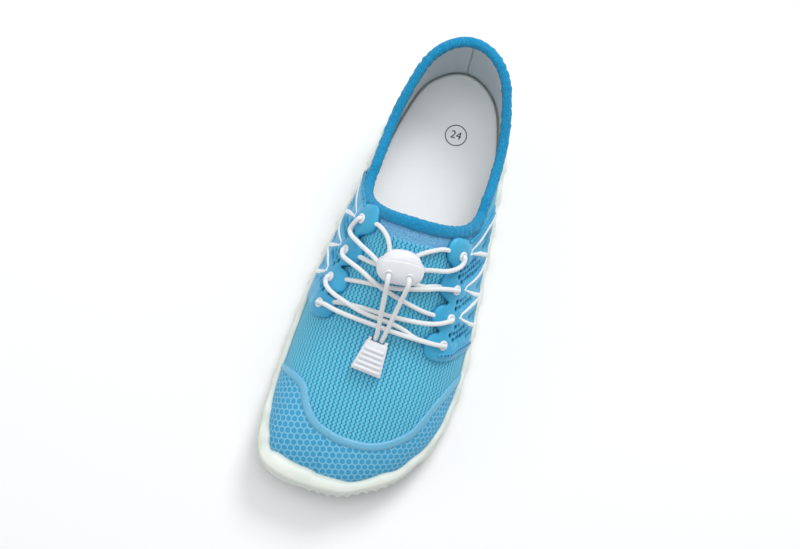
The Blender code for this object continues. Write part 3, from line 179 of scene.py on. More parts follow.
LACE_RUNS = {
    # station, offset, lift in millimetres
    "bottom_bar": (
        (0.638, -0.316, 5.6), (0.645, -0.262, 5.6), (0.650, -0.190, 4.6), (0.653, -0.100, 4.1),
        (0.655, 0.000, 4.0), (0.655, 0.100, 3.8), (0.654, 0.150, 4.0), (0.652, 0.197, 5.5),
        (0.649, 0.254, 5.6),
    ),
    "cross_a": (
        (0.629, -0.275, 1.8), (0.629, -0.200, 1.8), (0.629, -0.129, 1.8), (0.629, -0.038, 2.3),
        (0.627, 0.050, 2.2), (0.622, 0.130, 3.2), (0.615, 0.190, 5.5), (0.607, 0.232, 5.6),
        (0.602, 0.252, 5.6),
    ),
    "cross_b": (
        (0.5935, -0.342, 5.7), (0.603, -0.325, 5.7), (0.614, -0.290, 5.5), (0.623, -0.240, 4.8),
        (0.632, -0.180, 3.8), (0.638, -0.120, 3.2), (0.640, -0.065, 2.2), (0.642, 0.020, 1.8),
        (0.646, 0.090, 1.8), (0.653, 0.150, 1.8), (0.653, 0.186, 1.8),
    ),
    "cross_d": (
        (0.581, -0.238, 1.8), (0.580, -0.170, 1.8), (0.579, -0.097, 1.9), (0.573, 0.000, 2.3),
        (0.563, 0.080, 2.3), (0.557, 0.118, 3.4), (0.548, 0.155, 4.7), (0.542, 0.185, 5.6),
        (0.535, 0.232, 5.7),
    ),
    "cross_e": (
        (0.535, -0.296, 5.7), (0.542, -0.270, 5.7), (0.549, -0.235, 5.6), (0.559, -0.190, 4.4),
        (0.570, -0.145, 4.0), (0.578, -0.100, 3.9), (0.583, -0.060, 3.4), (0.590, 0.000, 2.4),
        (0.595, 0.070, 1.8), (0.598, 0.130, 1.8), (0.598, 0.182, 1.8),
    ),
    "cross_f": (
        (0.536, -0.206, 1.8), (0.541, -0.142, 1.8), (0.536, -0.031, 1.8), (0.524, 0.085, 1.8),
        (0.515, 0.140, 2.8), (0.508, 0.175, 5.4), (0.496, 0.215, 5.8), (0.484, 0.240, 5.7),
        (0.479, 0.245, 5.7),
    ),
    "cross_g": (
        (0.470, -0.285, 5.7), (0.480, -0.298, 5.6), (0.491, -0.283, 5.6), (0.502, -0.248, 5.6),
        (0.514, -0.205, 5.2), (0.526, -0.162, 3.6), (0.540, -0.114, 3.7), (0.549, -0.051, 3.4),
        (0.554, 0.010, 2.6), (0.554, 0.070, 1.8), (0.5535, 0.118, 1.8), (0.543, 0.170, 1.8),
    ),
    "lead_medial": (
        (0.467, -0.180, 1.8), (0.476, -0.150, 1.8), (0.486, -0.124, 2.0), (0.500, -0.104, 2.6),
        (0.513, -0.092, 3.0),
    ),
    "lead_lateral": (
        (0.470, 0.158, 1.8), (0.479, 0.120, 1.8), (0.488, 0.082, 2.2), (0.498, 0.046, 2.6),
        (0.508, 0.022, 2.9),
    ),
}
END_SAG = 0.2 * MM
TREAD = (
    # station, offset, half length, half width, turn in degrees
    (0.060, 0.000, 0.022, 0.100, 0.0),
    (0.130, 0.000, 0.030, 0.120, 0.0),
    (0.205, -0.120, 0.026, 0.090, 20.0),
    (0.205, 0.120, 0.026, 0.090, -20.0),
    (0.290, 0.000, 0.026, 0.130, 0.0),
    (0.540, 0.000, 0.026, 0.130, 0.0),
    (0.590, -0.220, 0.028, 0.100, 20.0),
    (0.590, 0.220, 0.028, 0.100, -20.0),
    (0.640, 0.000, 0.030, 0.130, 0.0),
    (0.700, -0.240, 0.028, 0.105, 20.0),
    (0.700, 0.220, 0.028, 0.105, -20.0),
    (0.765, 0.000, 0.030, 0.130, 0.0),
    (0.840, -0.220, 0.030, 0.100, 20.0),
    (0.840, 0.150, 0.028, 0.100, -20.0),
)

# The cage's white lines, by station and by share of the way from the line of the eyelets
# down to the foot line; the medial side's stations are a little nearer the heel
WHITE_LINES = (
    ((0.285, 1.00), (0.328, 0.78), (0.371, 0.53), (0.452, 0.14), (0.431, 0.43), (0.397, 1.00)),
    ((0.388, 1.00), (0.454, 0.66), (0.521, 0.16), (0.510, 0.52), (0.487, 1.00)),
    ((0.480, 1.00), (0.533, 0.52), (0.577, 0.18), (0.571, 0.56), (0.555, 1.00)),
)
NET_TOP = ((0.466, 0.02), (0.53, 0.02), (0.59, 0.02), (0.65, 0.04))
COLLAR_PANEL = (
    # station, offset of the cage's edge, near and far lines off it in millimetres
    (0.325, 0.356, 1.4, 4.4),
    (0.360, 0.339, 1.3, 5.4),
    (0.400, 0.306, 1.4, 5.4),
    (0.430, 0.262, 2.0, 4.2),
)
FRONT_RIDGE = (
    # station, offset of the lateral side
    (0.668, 0.285), (0.655, 0.345), (0.632, 0.395), (0.606, 0.435), (0.592, 0.458),
)
MEDIAL_SHIFT = ((0.45, 0.0), (0.52, -0.011), (0.70, -0.013))

# Sizes of what the scene adds to the source's shapes
CAGE_FACE = 1.55 * MM
CAGE_MARGIN = 4.6 * MM
LINE_MARGIN = 4.8 * MM
RIDGE_MARGIN = 4.9 * MM
BAND_MARGIN = 4.4 * MM
NET_MARGIN = 4.0 * MM
LINE_HALF = 1.05 * MM
LINE_CROWN = 0.3 * MM
NET_RIDGE_SHIFT = 0.012
PANEL_RIM = 0.9 * MM
SKIN_BEYOND = 0.15
TOE_NET_CENTRE = (0.0, -0.20)
TOE_NET_REACH = 0.105
TREAD_DEPTH = 4.2 * MM
CLAW_PITCH = 19.0 * MM
CLAW_WIDTH = 11.0 * MM
CLAW_LEAN = 0.85
CLAW_TOP = 0.86
RIB_PITCH = 5.2 * MM
PETAL_PITCH = 24.0 * MM
FOOTBED_DIP = 0.7 * MM
FOOTBED_ROWS = 25
UNDER_ROWS = 9
PRINT_AT = (4.0 * MM, -8.0 * MM, 0.06 * MM)
PRINT_RING = (5.6 * MM, 6.1 * MM)
PRINT_RAISE = 0.08 * MM
LOCK_LIP = 0.85 * MM
LOCK_MOUTH = 1.0 * MM
BUTTON_LIP = 0.5 * MM
BUTTON_RAISE = 1.5 * MM
LOCK_BOW = 1.7 * MM
NET_OFF_EYELET = 6.4 * MM
NET_OFF_LINE = 1.4 * MM
NET_OFF_RIDGE = 2.6 * MM
NET_OFF_EDGE = 0.9 * MM

# The photo's view of this shoe, and the studio's lights, in metres
CAMERA_AT = (0.0123, -0.3128, 1.0)
CAMERA_AIM = (-0.002, -0.096, 0.030)
CAMERA_UP = (-0.295, 0.955, 0.0)
LIGHTS_AIM = (0.0, -0.10, 0.03)
LIGHTS = (
    # name, place, size, watts
    ("key_light", (0.22, 0.70, 0.95), 0.55, 7.4),
    ("top_light", (-0.05, 0.05, 1.50), 1.1, 6.2),
    ("fill_light", (-0.8, -0.3, 0.8), 0.9, 1.6),
)


def linear(code):
    """An sRGB hex colour as the linear colour that shaders take."""
    parts = [int(code[i:i + 2], 16) / 255 for i in (1, 3, 5)]
    return [c / 12.92 if c <= 0.04045 else ((c + 0.055) / 1.055) ** 2.4 for c in parts]


def smooth_table(table, column):
    """A function through one column of a table, by the station, with no overshoot."""
    rows = sorted(table)
    x = np.array([row[0] for row in rows], float)
    y = np.array([row[column] for row in rows], float)
    step = np.diff(x)
    rise = np.diff(y) / step
    slope = np.zeros(len(x))
    for i in range(1, len(x) - 1):
        if rise[i - 1] * rise[i] > 0:
            before = 2 * step[i] + step[i - 1]
            after = step[i] + 2 * step[i - 1]
            slope[i] = (before + after) / (before / rise[i - 1] + after / rise[i])
    slope[0] = rise[0]
    slope[-1] = rise[-1]

    def value(at):
        at = np.clip(np.asarray(at, float), x[0], x[-1])
        i = np.clip(np.searchsorted(x, at, side="right") - 1, 0, len(x) - 2)
        t = (at - x[i]) / step[i]
        first = (1 + 2 * t) * (1 - t) ** 2 * y[i] + t * (1 - t) ** 2 * step[i] * slope[i]
        second = t * t * (3 - 2 * t) * y[i + 1] + t * t * (t - 1) * step[i] * slope[i + 1]
        return first + second

    return value


def spline_through(points, per_span, closed=False):
    """Points along a smooth curve through the given points."""
    p = np.array(points, float)
    if closed:
        p = np.vstack([p[-1], p, p[:2]])
    else:
        p = np.vstack([2 * p[0] - p[1], p, 2 * p[-1] - p[-2]])
    out = []
    for i in range(1, len(p) - 2):
        a, b, c, d = p[i - 1], p[i], p[i + 1], p[i + 2]
        t0 = 0.0
        t1 = t0 + math.sqrt(max(np.linalg.norm(b - a), 1e-9))
        t2 = t1 + math.sqrt(max(np.linalg.norm(c - b), 1e-9))
        t3 = t2 + math.sqrt(max(np.linalg.norm(d - c), 1e-9))
        for t in np.linspace(t1, t2, per_span, endpoint=False):
            ab = (t1 - t) / (t1 - t0) * a + (t - t0) / (t1 - t0) * b
            bc = (t2 - t) / (t2 - t1) * b + (t - t1) / (t2 - t1) * c
            cd = (t3 - t) / (t3 - t2) * c + (t - t2) / (t3 - t2) * d
            abc = (t2 - t) / (t2 - t0) * ab + (t - t0) / (t2 - t0) * bc
            bcd = (t3 - t) / (t3 - t1) * bc + (t - t1) / (t3 - t1) * cd
            out.append((t2 - t) / (t2 - t1) * abc + (t - t1) / (t2 - t1) * bcd)
    if not closed:
        out.append(p[-2])
    return np.array(out)


def even(points, step):
    """The same path at even steps."""
    p = np.array(points, float)
    length = np.r_[0, np.cumsum(np.linalg.norm(np.diff(p, axis=0), axis=1))]
    count = max(2, int(round(length[-1] / step)))
    wanted = np.linspace(0, length[-1], count + 1)
    return np.stack([np.interp(wanted, length, p[:, k]) for k in range(p.shape[1])], axis=1)


def y_of(station):
    return (HEEL_CENTRE - np.asarray(station, float)) * LENGTH


def station_of(y):
    return HEEL_CENTRE - np.asarray(y, float) / LENGTH


def smoothstep(x, low, high):
    t = np.clip((np.asarray(x, float) - low) / (high - low), 0.0, 1.0)
    return t * t * (3 - 2 * t)


def outline_dense():
    """The sole's outline, closed: heel, lateral side, toe, medial side."""
    rows = sorted(OUTLINE)
    lateral = [(row[2] * BALL_WIDTH, y_of(row[0])) for row in rows]
    medial = [(row[1] * BALL_WIDTH, y_of(row[0])) for row in reversed(rows)]
    loop = [(0.0, y_of(0.0))] + lateral + [(TOE_POINT * BALL_WIDTH, y_of(1.0))] + medial
    return spline_through(loop, 60, True)


def loop_outward(loop):
    """The outward directions, in the plane, along a closed outline."""
    way = np.roll(loop, -1, axis=0) - np.roll(loop, 1, axis=0)
    out = np.stack([way[:, 1], -way[:, 0]], axis=1) / np.linalg.norm(way, axis=1)[:, None]
    return out * np.sign(((loop - loop.mean(axis=0)) * out).sum())


DENSE = outline_dense()
DENSE_NORMAL = loop_outward(DENSE)
TIP = int(np.argmin(DENSE[:, 1]))

ridge_share = smooth_table(SECTIONS, 1)
ridge_offset = smooth_table(SECTIONS, 2)
medial_fullness = smooth_table(SECTIONS, 3)
lateral_fullness = smooth_table(SECTIONS, 4)
topline_heel = smooth_table(TOPLINE, 1)
topline_ankle = smooth_table(TOPLINE, 2)
topline_instep = smooth_table(TOPLINE, 3)


def side_points(lateral):
    """Indices into the dense outline from the heel's back to the toe's tip on one side."""
    if lateral:
        return np.arange(0, TIP + 1)
    return np.r_[np.arange(len(DENSE), TIP - 1, -1) % len(DENSE)]


def floor_line(station):
    """Height of the lugs' tips over the floor: the heel's and the toe's springs."""
    s = np.asarray(station, float)
    toe = np.clip((s - 0.70) / 0.30, 0.0, 1.0) ** 2 * TOE_SPRING
    heel = np.clip((0.07 - s) / 0.07, 0.0, 1.0) ** 2 * HEEL_SPRING
    return toe + heel


def bed_height(station):
    """Height of the foot bed, the sole's top inside its rim."""
    s = np.asarray(station, float)
    thick = HEEL_THICKNESS + (FOREFOOT_THICKNESS - HEEL_THICKNESS) * smoothstep(s, 0.2, 0.62)
    return thick + floor_line(s)


def rim_thickness(station, lateral):
    """Thickness of the sole's rim, thicker at the toe bumper and most on its medial side."""
    extra = TOE_RIM_WALL - RIM_WALL
    share = np.where(lateral, 0.45, 1.0)
    return RIM_WALL + extra * share * smoothstep(station, 0.80, 0.97)


def rim_top(station, lateral):
    """Height of the rim's top, with the toe bumper's waves."""
    s = np.asarray(station, float)
    bumper = smoothstep(s, 0.80, 0.97)
    wave = np.sin(s * 2 * math.pi / 0.062 + np.where(lateral, 0.0, 2.0)) * BUMPER_WAVE
    height = RIM_HEIGHT + (BUMPER_HEIGHT - RIM_HEIGHT) * bumper
    arch = np.where(lateral, 0.0, 1.5 * MM) * np.exp(-(((s - 0.45) / 0.16) ** 2))
    return bed_height(s) + height + wave * (0.45 + 0.55 * bumper) + arch


def ring_indices(pairs):
    """Dense outline indices for a ring: pairs of points at like stations, heel first."""
    stations = (1 - np.cos(np.pi * np.arange(1, pairs) / pairs)) / 2
    rings = []
    for lateral in (True, False):
        index = side_points(lateral)
        s = station_of(DENSE[index][:, 1])
        order = np.argsort(s, kind="stable")
        rings.append(index[order][np.searchsorted(s[order], stations).clip(0, len(s) - 1)])
    return np.r_[[0], rings[0], [TIP], rings[1][::-1]]


def foot_outline():
    """The upper's foot line: the sole's outline drawn in by its rim and a gap."""
    lateral = np.arange(len(DENSE)) <= TIP
    wall = rim_thickness(station_of(DENSE[:, 1]), lateral) + RIM_GAP
    return DENSE - DENSE_NORMAL * wall[:, None]


FOOT = foot_outline()


def edge_table(lateral):
    index = side_points(lateral)
    s = station_of(FOOT[index][:, 1])
    order = np.argsort(s, kind="stable")
    return s[order], FOOT[index][order][:, 0]


EDGES = {True: edge_table(True), False: edge_table(False)}


def foot_edge(station, lateral):
    """Offset of the upper's foot line at a station, on one side."""
    return np.interp(station, *EDGES[lateral])


def pole(station):
    """The point of the ridge that a place's section is measured from."""
    s = np.clip(station, HEEL_PIVOT, TOE_CENTRE)
    return ridge_offset(s) * BALL_WIDTH, y_of(s)


def end_table(toe):
    px, py = pole(np.array(1.0 if toe else 0.0))
    keep = FOOT[:, 1] <= py if toe else FOOT[:, 1] >= py
    around = FOOT[keep] - np.array([px, py])
    angle = np.arctan2(around[:, 0], around[:, 1] * (-1 if toe else 1))
    order = np.argsort(angle)
    return px, py, angle[order], np.linalg.norm(around, axis=1)[order]


ENDS = {True: end_table(True), False: end_table(False)}


def end_radius(x, y, toe):
    """Distance from the toe's or the heel's pole to the foot line, along the way to a point."""
    px, py, angle, radius = ENDS[toe]
    return np.interp(np.arctan2(x - px, (y - py) * (-1 if toe else 1)), angle, radius)


def whole_reach(x, y, s, px):
    """The pattern's distance from the ridge to the foot line, on the way to a place."""
    edge = np.where(x >= px, foot_edge(s, True), foot_edge(s, False))
    whole = np.abs(edge - px)
    whole = np.where(s > TOE_CENTRE, end_radius(x, y, True), whole)
    return np.where(s < HEEL_PIVOT, end_radius(x, y, False), whole)


def last_point(x, y):
    """A point of the upper's outer surface, from a place on the flat pattern of the foot line."""
    x = np.asarray(x, float)
    y = np.asarray(y, float)
    s = station_of(y)
    px, py = pole(s)
    reach = np.hypot(x - px, y - py)
    whole = whole_reach(x, y, s, px)
    q = np.clip(reach / np.maximum(whole, 1e-6), 0.0, 1.0)
    lean = 0.5 + 0.5 * np.clip((x - px) / np.maximum(reach, 1e-9), -1, 1)
    fullness = medial_fullness(s) * (1 - lean) + lateral_fullness(s) * lean
    theta = (1 - q) * math.pi / 2
    out = np.cos(theta) ** (2 / fullness)
    scale = np.where(reach > 1e-9, out * whole / np.maximum(reach, 1e-9), 0.0)
    real_x = px + (x - px) * scale
    real_y = py + (y - py) * scale
    real_s = station_of(real_y)
    foot = bed_height(real_s) + RIM_GAP
    top = ridge_share(real_s) * INSTEP_HEIGHT
    z = foot + (top - foot) * np.sin(theta) ** (2 / fullness)
    return np.stack([real_x, real_y, z], axis=-1)


def last_height(x, y):
    """Height of the upper's outer surface straight over a point ahead of the throat."""
    s = float(station_of(y))
    px, py = pole(np.array(s))
    reach = math.hypot(x - px, y - py)
    whole = float(whole_reach(np.array(x), np.array(y), np.array(s), px))
    lean = 0.5 + 0.5 * max(-1.0, min(1.0, (x - px) / max(reach, 1e-9)))
    n = float(medial_fullness(s)) * (1 - lean) + float(lateral_fullness(s)) * lean
    foot = float(bed_height(s)) + CLEARANCE
    share = max(0.0, 1 - min(1.0, reach / whole) ** n) ** (1 / n)
    return foot + (float(ridge_share(s)) * INSTEP_HEIGHT - foot) * share


def last_normal(x, y):
    """The upper's outward direction straight over a point ahead of the throat."""
    d = 0.5 * MM
    dx = (last_height(x + d, y) - last_height(x - d, y)) / (2 * d)
    dy = (last_height(x, y + d) - last_height(x, y - d)) / (2 * d)
    return Vector((-dx, -dy, 1.0)).normalized()


# The upper's skin laid flat: U is the way round the section from the ridge, V the way along
TURNS = np.linspace(0.0, 1.0, 121)
REACH_STEP = 1.0 * MM
REACHES = np.arange(0.0, 0.200, REACH_STEP)


def skin_ray(px, py, dx, dy):
    """Points, and their distance over the skin, from the ridge to the foot line one way."""
    s = station_of(py + dy * 1e-6)
    whole = whole_reach(px + dx * 1e-3, py + dy * 1e-3, s + 1e-9 * np.sign(-dy), px)
    points = last_point(px + dx * TURNS * whole, py + dy * TURNS * whole)
    steps = np.linalg.norm(np.diff(points, axis=0), axis=1)
    return points, np.r_[0.0, np.cumsum(steps)]


def ray_table(kind):
    """How far round the section each distance over the skin comes, for a fan of ways."""
    rows, ends, reaches = [], [], []
    for t in np.linspace(0.0, 1.0, 121):
        if kind in ("lateral", "medial"):
            px, py = pole(np.array(HEEL_PIVOT + t * (TOE_CENTRE - HEEL_PIVOT)))
            way = (1.0 if kind == "lateral" else -1.0, 0.0)
        else:
            px, py = pole(np.array(1.0 if kind == "toe" else 0.0))
            angle = (t - 0.5) * math.pi
            way = (math.sin(angle), math.cos(angle) * (-1 if kind == "toe" else 1))
        far = skin_ray(px, py, *way)[1]
        rows.append(np.interp(REACHES, far, TURNS))
        ends.append(far[-1])
        reaches.append(far)
    return np.array(rows), np.array(ends), np.array(reaches)


RAYS = {kind: ray_table(kind) for kind in ("lateral", "medial", "toe", "heel")}


def turns_at(kind, t, reach):
    """The share of the way round at a distance over the skin, from a fan's table."""
    rows = RAYS[kind][0]
    a = np.clip(t, 0, 1) * (len(rows) - 1)
    i = np.clip(a.astype(int), 0, len(rows) - 2)
    b = np.clip(reach / REACH_STEP, 0, len(REACHES) - 1.001)
    j = b.astype(int)
    fa, fb = a - i, b - j
    return ((rows[i, j] * (1 - fa) + rows[i + 1, j] * fa) * (1 - fb)
            + (rows[i, j + 1] * (1 - fa) + rows[i + 1, j + 1] * fa) * fb)


def by_fan(value, s, dx, dy):
    """A fan's value for each way from the ridge: a side's, or round the toe or the heel.

    value takes the fan's name and the way's share of the fan.
    """
    middle = (s - HEEL_PIVOT) / (TOE_CENTRE - HEEL_PIVOT)
    out = np.where(dx >= 0, value("lateral", middle), value("medial", middle))
    out = np.where(s > TOE_CENTRE, value("toe", np.arctan2(dx, -dy) / math.pi + 0.5), out)
    return np.where(s < HEEL_PIVOT, value("heel", np.arctan2(dx, dy) / math.pi + 0.5), out)


def wrap(u, v):
    """The point of the upper's outer surface at a place of the flat skin."""
    u = np.asarray(u, float)
    v = np.asarray(v, float)
    s = station_of(v)
    px, py = pole(s)
    du, dv = u - px, v - py
    reach = np.maximum(np.hypot(du, dv), 1e-9)
    q = by_fan(lambda kind, t: turns_at(kind, t, reach), s, du, dv)
    whole = whole_reach(px + du, py + dv, s, px)
    q = np.minimum(q, 0.9995)
    return last_point(px + du / reach * q * whole, py + dv / reach * q * whole)


def wrap_normal(u, v):
    """The outward direction at a place of the flat skin."""
    d = 0.5 * MM
    across = wrap(u + d, v) - wrap(u - d, v)
    ahead = wrap(u, v + d) - wrap(u, v - d)
    normal = np.cross(across, ahead)
    size = np.linalg.norm(normal, axis=-1, keepdims=True)
    flat = np.stack([np.sign(u), np.zeros_like(u), np.zeros_like(u)], axis=-1)
    return np.where(size > 1e-9, normal / np.maximum(size, 1e-12), flat)


def flat_of(rows):
    """Places over the shoe, as station and offset, laid flat."""
    out = []
    for station, offset in rows:
        x, y = offset * BALL_WIDTH, float(y_of(station))
        px, py = (float(p) for p in pole(np.array(station)))
        reach = math.hypot(x - px, y - py)
        dx, dy = (x - px) / reach, (y - py) / reach
        points, far = skin_ray(px, py, dx, dy)
        plan = np.hypot(points[:, 0] - px, points[:, 1] - py)
        length = float(np.interp(reach, plan, far)) + max(0.0, reach - plan[-1])
        out.append((px + dx * length, py + dy * length))
    return np.array(out)


def new_piece(name, bm, looks, body="shoe", smooth=True):
    """An object from a bmesh, at the origin, riding on a body."""
    mesh = bpy.data.meshes.new(name)
    bm.to_mesh(mesh)
    bm.free()
    for look in looks:
        mesh.materials.append(look)
    for face in mesh.polygons:
        face.use_smooth = smooth
    piece = bpy.data.objects.new(name, mesh)
    bpy.context.scene.collection.objects.link(piece)
    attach(piece, body)
    return piece


def grid_mesh(columns, rows, place, maps=None, closed=True):
    """A bmesh from a grid whose corners are moved to the places of a function.

    place takes the column and row numbers and returns points, and each of maps the places
    of a UV map in millimetres. A closed grid's last column lies on its first.
    """
    bm = bmesh.new()
    bmesh.ops.create_grid(bm, x_segments=columns, y_segments=rows - 1, size=0.5)
    spots = np.array([v.co[:2] for v in bm.verts])
    i = np.rint((spots[:, 0] + 0.5) * columns).astype(int)
    j = np.rint((spots[:, 1] + 0.5) * (rows - 1)).astype(int)
    points = place(i % columns if closed else i, j)
    bm.verts.index_update()
    for name, flat in (maps or {}).items():
        where = flat(i, j)
        layer = bm.loops.layers.uv.new(name)
        for face in bm.faces:
            for loop in face.loops:
                loop[layer].uv = where[loop.vert.index]
    for vert, point in zip(bm.verts, points):
        vert.co = point
    bmesh.ops.remove_doubles(bm, verts=bm.verts, dist=2e-6)
    return bm


def join(bm, part):
    """Move a part's faces into another bmesh."""
    mesh = bpy.data.meshes.new("part")
    part.to_mesh(mesh)
    part.free()
    bm.from_mesh(mesh)
    bpy.data.meshes.remove(mesh)


def outward(bm):
    bmesh.ops.recalc_face_normals(bm, faces=bm.faces)


def segments_distance(points, loops, closed=True):
    """Distance from each point to the nearest side of some outlines."""
    best = np.full(len(points), 1e9)
    for loop in loops:
        p = np.array(loop, float)
        a = p if closed else p[:-1]
        b = np.roll(p, -1, axis=0) if closed else p[1:]
        for start in range(0, len(a), 64):
            s, e = a[start:start + 64], b[start:start + 64]
            way = e - s
            size = np.maximum((way ** 2).sum(axis=1), 1e-18)
            t = ((points[:, None] - s[None]) * way[None]).sum(axis=2) / size
            near = s[None] + np.clip(t, 0, 1)[..., None] * way[None]
            best = np.minimum(best, np.linalg.norm(points[:, None] - near, axis=2).min(axis=1))
    return best


def rise(spots, loops, width):
    """How far in from some outlines places lie, from 0 on them to 1 at a width."""
    return np.clip(segments_distance(spots, loops) / width, 0, 1)


def rolled(share):
    """The height of a quarter-round edge, from 0 at its foot to 1."""
    return np.sqrt(1 - (1 - share) ** 2)


def inside(points, loop):
    """Whether each point lies inside an outline."""
    p = np.array(loop, float)
    q = np.roll(p, -1, axis=0)
    x, y = points[:, 0][:, None], points[:, 1][:, None]
    cross = (p[:, 1] > y) != (q[:, 1] > y)
    at = (q[:, 0] - p[:, 0]) * (y - p[:, 1]) / np.where(q[:, 1] == p[:, 1], 1e-12,
                                                        q[:, 1] - p[:, 1]) + p[:, 0]
    return (cross & (x < at)).sum(axis=1) % 2 == 1


def cut_sheet(outline, holes=(), step=1.2 * MM):
    """The outline filled flat, with its holes open, and sliced into squares."""
    bm = bmesh.new()
    for loop in (outline, *holes):
        verts = [bm.verts.new((p[0], p[1], 0.0)) for p in loop]
        for a, b in zip(verts, verts[1:] + verts[:1]):
            bm.edges.new((a, b))
    bmesh.ops.triangle_fill(bm, use_beauty=True, edges=bm.edges[:], normal=(0, 0, 1))
    p = np.array(outline)
    for axis in (0, 1):
        low, high = p[:, axis].min(), p[:, axis].max()
        way = (1, 0, 0) if axis == 0 else (0, 1, 0)
        for k in range(int(math.ceil(low / step)), int(math.floor(high / step)) + 1):
            at = [0.0, 0.0, 0.0]
            at[axis] = k * step
            bmesh.ops.bisect_plane(
                bm, geom=bm.verts[:] + bm.edges[:] + bm.faces[:], dist=1e-7,
                plane_co=at, plane_no=way)
    bmesh.ops.remove_doubles(bm, verts=bm.verts, dist=2e-5)
    return bm


def lay_on(bm, low, high):
    """Give a flat sheet its thickness, and lay it on the upper's skin.

    low and high take the flat places and return heights over the skin.
    """
    layer = bm.loops.layers.uv.new("flat")
    for face in bm.faces:
        for loop in face.loops:
            loop[layer].uv = loop.vert.co.xy * 1000
    made = bmesh.ops.extrude_face_region(bm, geom=bm.faces[:], use_keep_orig=True)
    raised = {e for e in made["geom"] if isinstance(e, bmesh.types.BMVert)}
    spots = np.array([v.co[:2] for v in bm.verts])
    top = np.array([v in raised for v in bm.verts])
    height = np.where(top, high(spots), low(spots))
    points = wrap(spots[:, 0], spots[:, 1])
    points = points + wrap_normal(spots[:, 0], spots[:, 1]) * height[:, None]
    for vert, point in zip(bm.verts, points):
        vert.co = point
    outward(bm)
    return bm


def rounded(loop, per_span=5):
    """A closed outline drawn smoothly through its corners."""
    return spline_through(loop, per_span, True)


def ribbon(path, half):
    """The outline of a stripe along a path, with mitred corners."""
    p = np.array(path, float)
    ahead = np.diff(p, axis=0)
    ahead /= np.linalg.norm(ahead, axis=1)[:, None]
    side = np.stack([-ahead[:, 1], ahead[:, 0]], axis=1)
    first = np.vstack([side[:1], side])
    last = np.vstack([side, side[-1:]])
    mitre = first + last
    mitre /= np.maximum((mitre ** 2).sum(axis=1) / 2, 0.30)[:, None]
    return np.vstack([p + mitre * half, (p - mitre * half)[::-1]])


def hex_net(keep, cell, rib, top, floor, crown, turn):
    """A net of six-sided cells over the places round the toe that keep picks, with sunk floors."""
    bm = bmesh.new()
    centre = np.array(TOE_NET_CENTRE)
    cos, sin = math.cos(turn), math.sin(turn)
    count = int(TOE_NET_REACH / (cell * 0.8))
    spots = []
    for i in range(-count, count + 1):
        for j in range(-count, count + 1):
            x = (i + 0.5 * (j % 2)) * cell
            y = j * cell * math.sqrt(3) / 2
            spots.append(centre + (x * cos - y * sin, x * sin + y * cos))
    spots = np.array(spots)
    spots = spots[keep(spots)]
    for spot in spots:
        bmesh.ops.create_circle(
            bm, cap_ends=True, segments=6, radius=cell / math.sqrt(3),
            matrix=Matrix.Translation((spot[0], spot[1], 0.0)) @ Matrix.Rotation(turn, 4, "Z"))
    bmesh.ops.remove_doubles(bm, verts=bm.verts, dist=cell * 0.02)
    corners = set(bm.verts)
    bmesh.ops.recalc_face_normals(bm, faces=bm.faces)
    cells = bm.faces[:]
    bmesh.ops.inset_individual(bm, faces=cells, thickness=rib / 2, use_even_offset=True)
    bmesh.ops.inset_individual(bm, faces=cells, thickness=0.12 * MM, use_even_offset=True)
    for face in cells:
        face.material_index = 1
    low = {v for face in cells for v in face.verts}
    layer = bm.loops.layers.uv.new("flat")
    for face in bm.faces:
        for loop in face.loops:
            loop[layer].uv = loop.vert.co.xy * 1000
    lift = bm.verts.layers.float.new("lift")
    for vert in bm.verts:
        vert[lift] = floor if vert in low else top + (crown if vert in corners else 0.0)
    made = bmesh.ops.extrude_face_region(bm, geom=bm.faces[:], use_keep_orig=True)
    raised = {e for e in made["geom"] if isinstance(e, bmesh.types.BMVert)}
    spots = np.array([v.co[:2] for v in bm.verts])
    height = np.array([v[lift] if v in raised else -0.2 * MM for v in bm.verts])
    bm.verts.layers.float.remove(lift)
    points = wrap(spots[:, 0], spots[:, 1])
    points = points + wrap_normal(spots[:, 0], spots[:, 1]) * height[:, None]
    for vert, point in zip(bm.verts, points):
        vert.co = point
    outward(bm)
    return bm


def tube(path, radius, sides, taper=None):
    """A round cord along a path, its ends closed, with its length and girth as its UV map."""
    path = np.array(path, float)
    ahead = np.gradient(path, axis=0)
    ahead /= np.linalg.norm(ahead, axis=1)[:, None]
    frames = []
    across = np.cross(ahead[0], (0.1, 0.0, 1.0))
    for t in ahead:
        across = across - t * np.dot(across, t)
        across /= np.linalg.norm(across)
        frames.append((across, np.cross(t, across)))
    length = np.r_[0, np.cumsum(np.linalg.norm(np.diff(path, axis=0), axis=1))]
    a = np.array([f[0] for f in frames])
    b = np.array([f[1] for f in frames])

    def place(i, j):
        angle = 2 * math.pi * i / sides
        thick = radius if taper is None else radius * taper(length[j] / length[-1])
        ring = a[j] * np.cos(angle)[:, None] + b[j] * np.sin(angle)[:, None]
        return path[j] + ring * np.broadcast_to(thick, j.shape)[:, None]

    def flat(i, j):
        return np.stack([i / sides * 2 * math.pi * radius, length[j]], axis=1) * 1000

    bm = grid_mesh(sides, len(path), place, {"flat": flat})
    bmesh.ops.holes_fill(bm, edges=[e for e in bm.edges if e.is_boundary], sides=sides)
    outward(bm)
    return bm


def over_upper(station, offset, lift):
    """A point over the upper's surface, lifted along its outward direction."""
    x = offset * BALL_WIDTH
    y = float(y_of(station))
    foot = Vector((x, y, last_height(x, y)))
    return foot + last_normal(x, y) * lift * MM


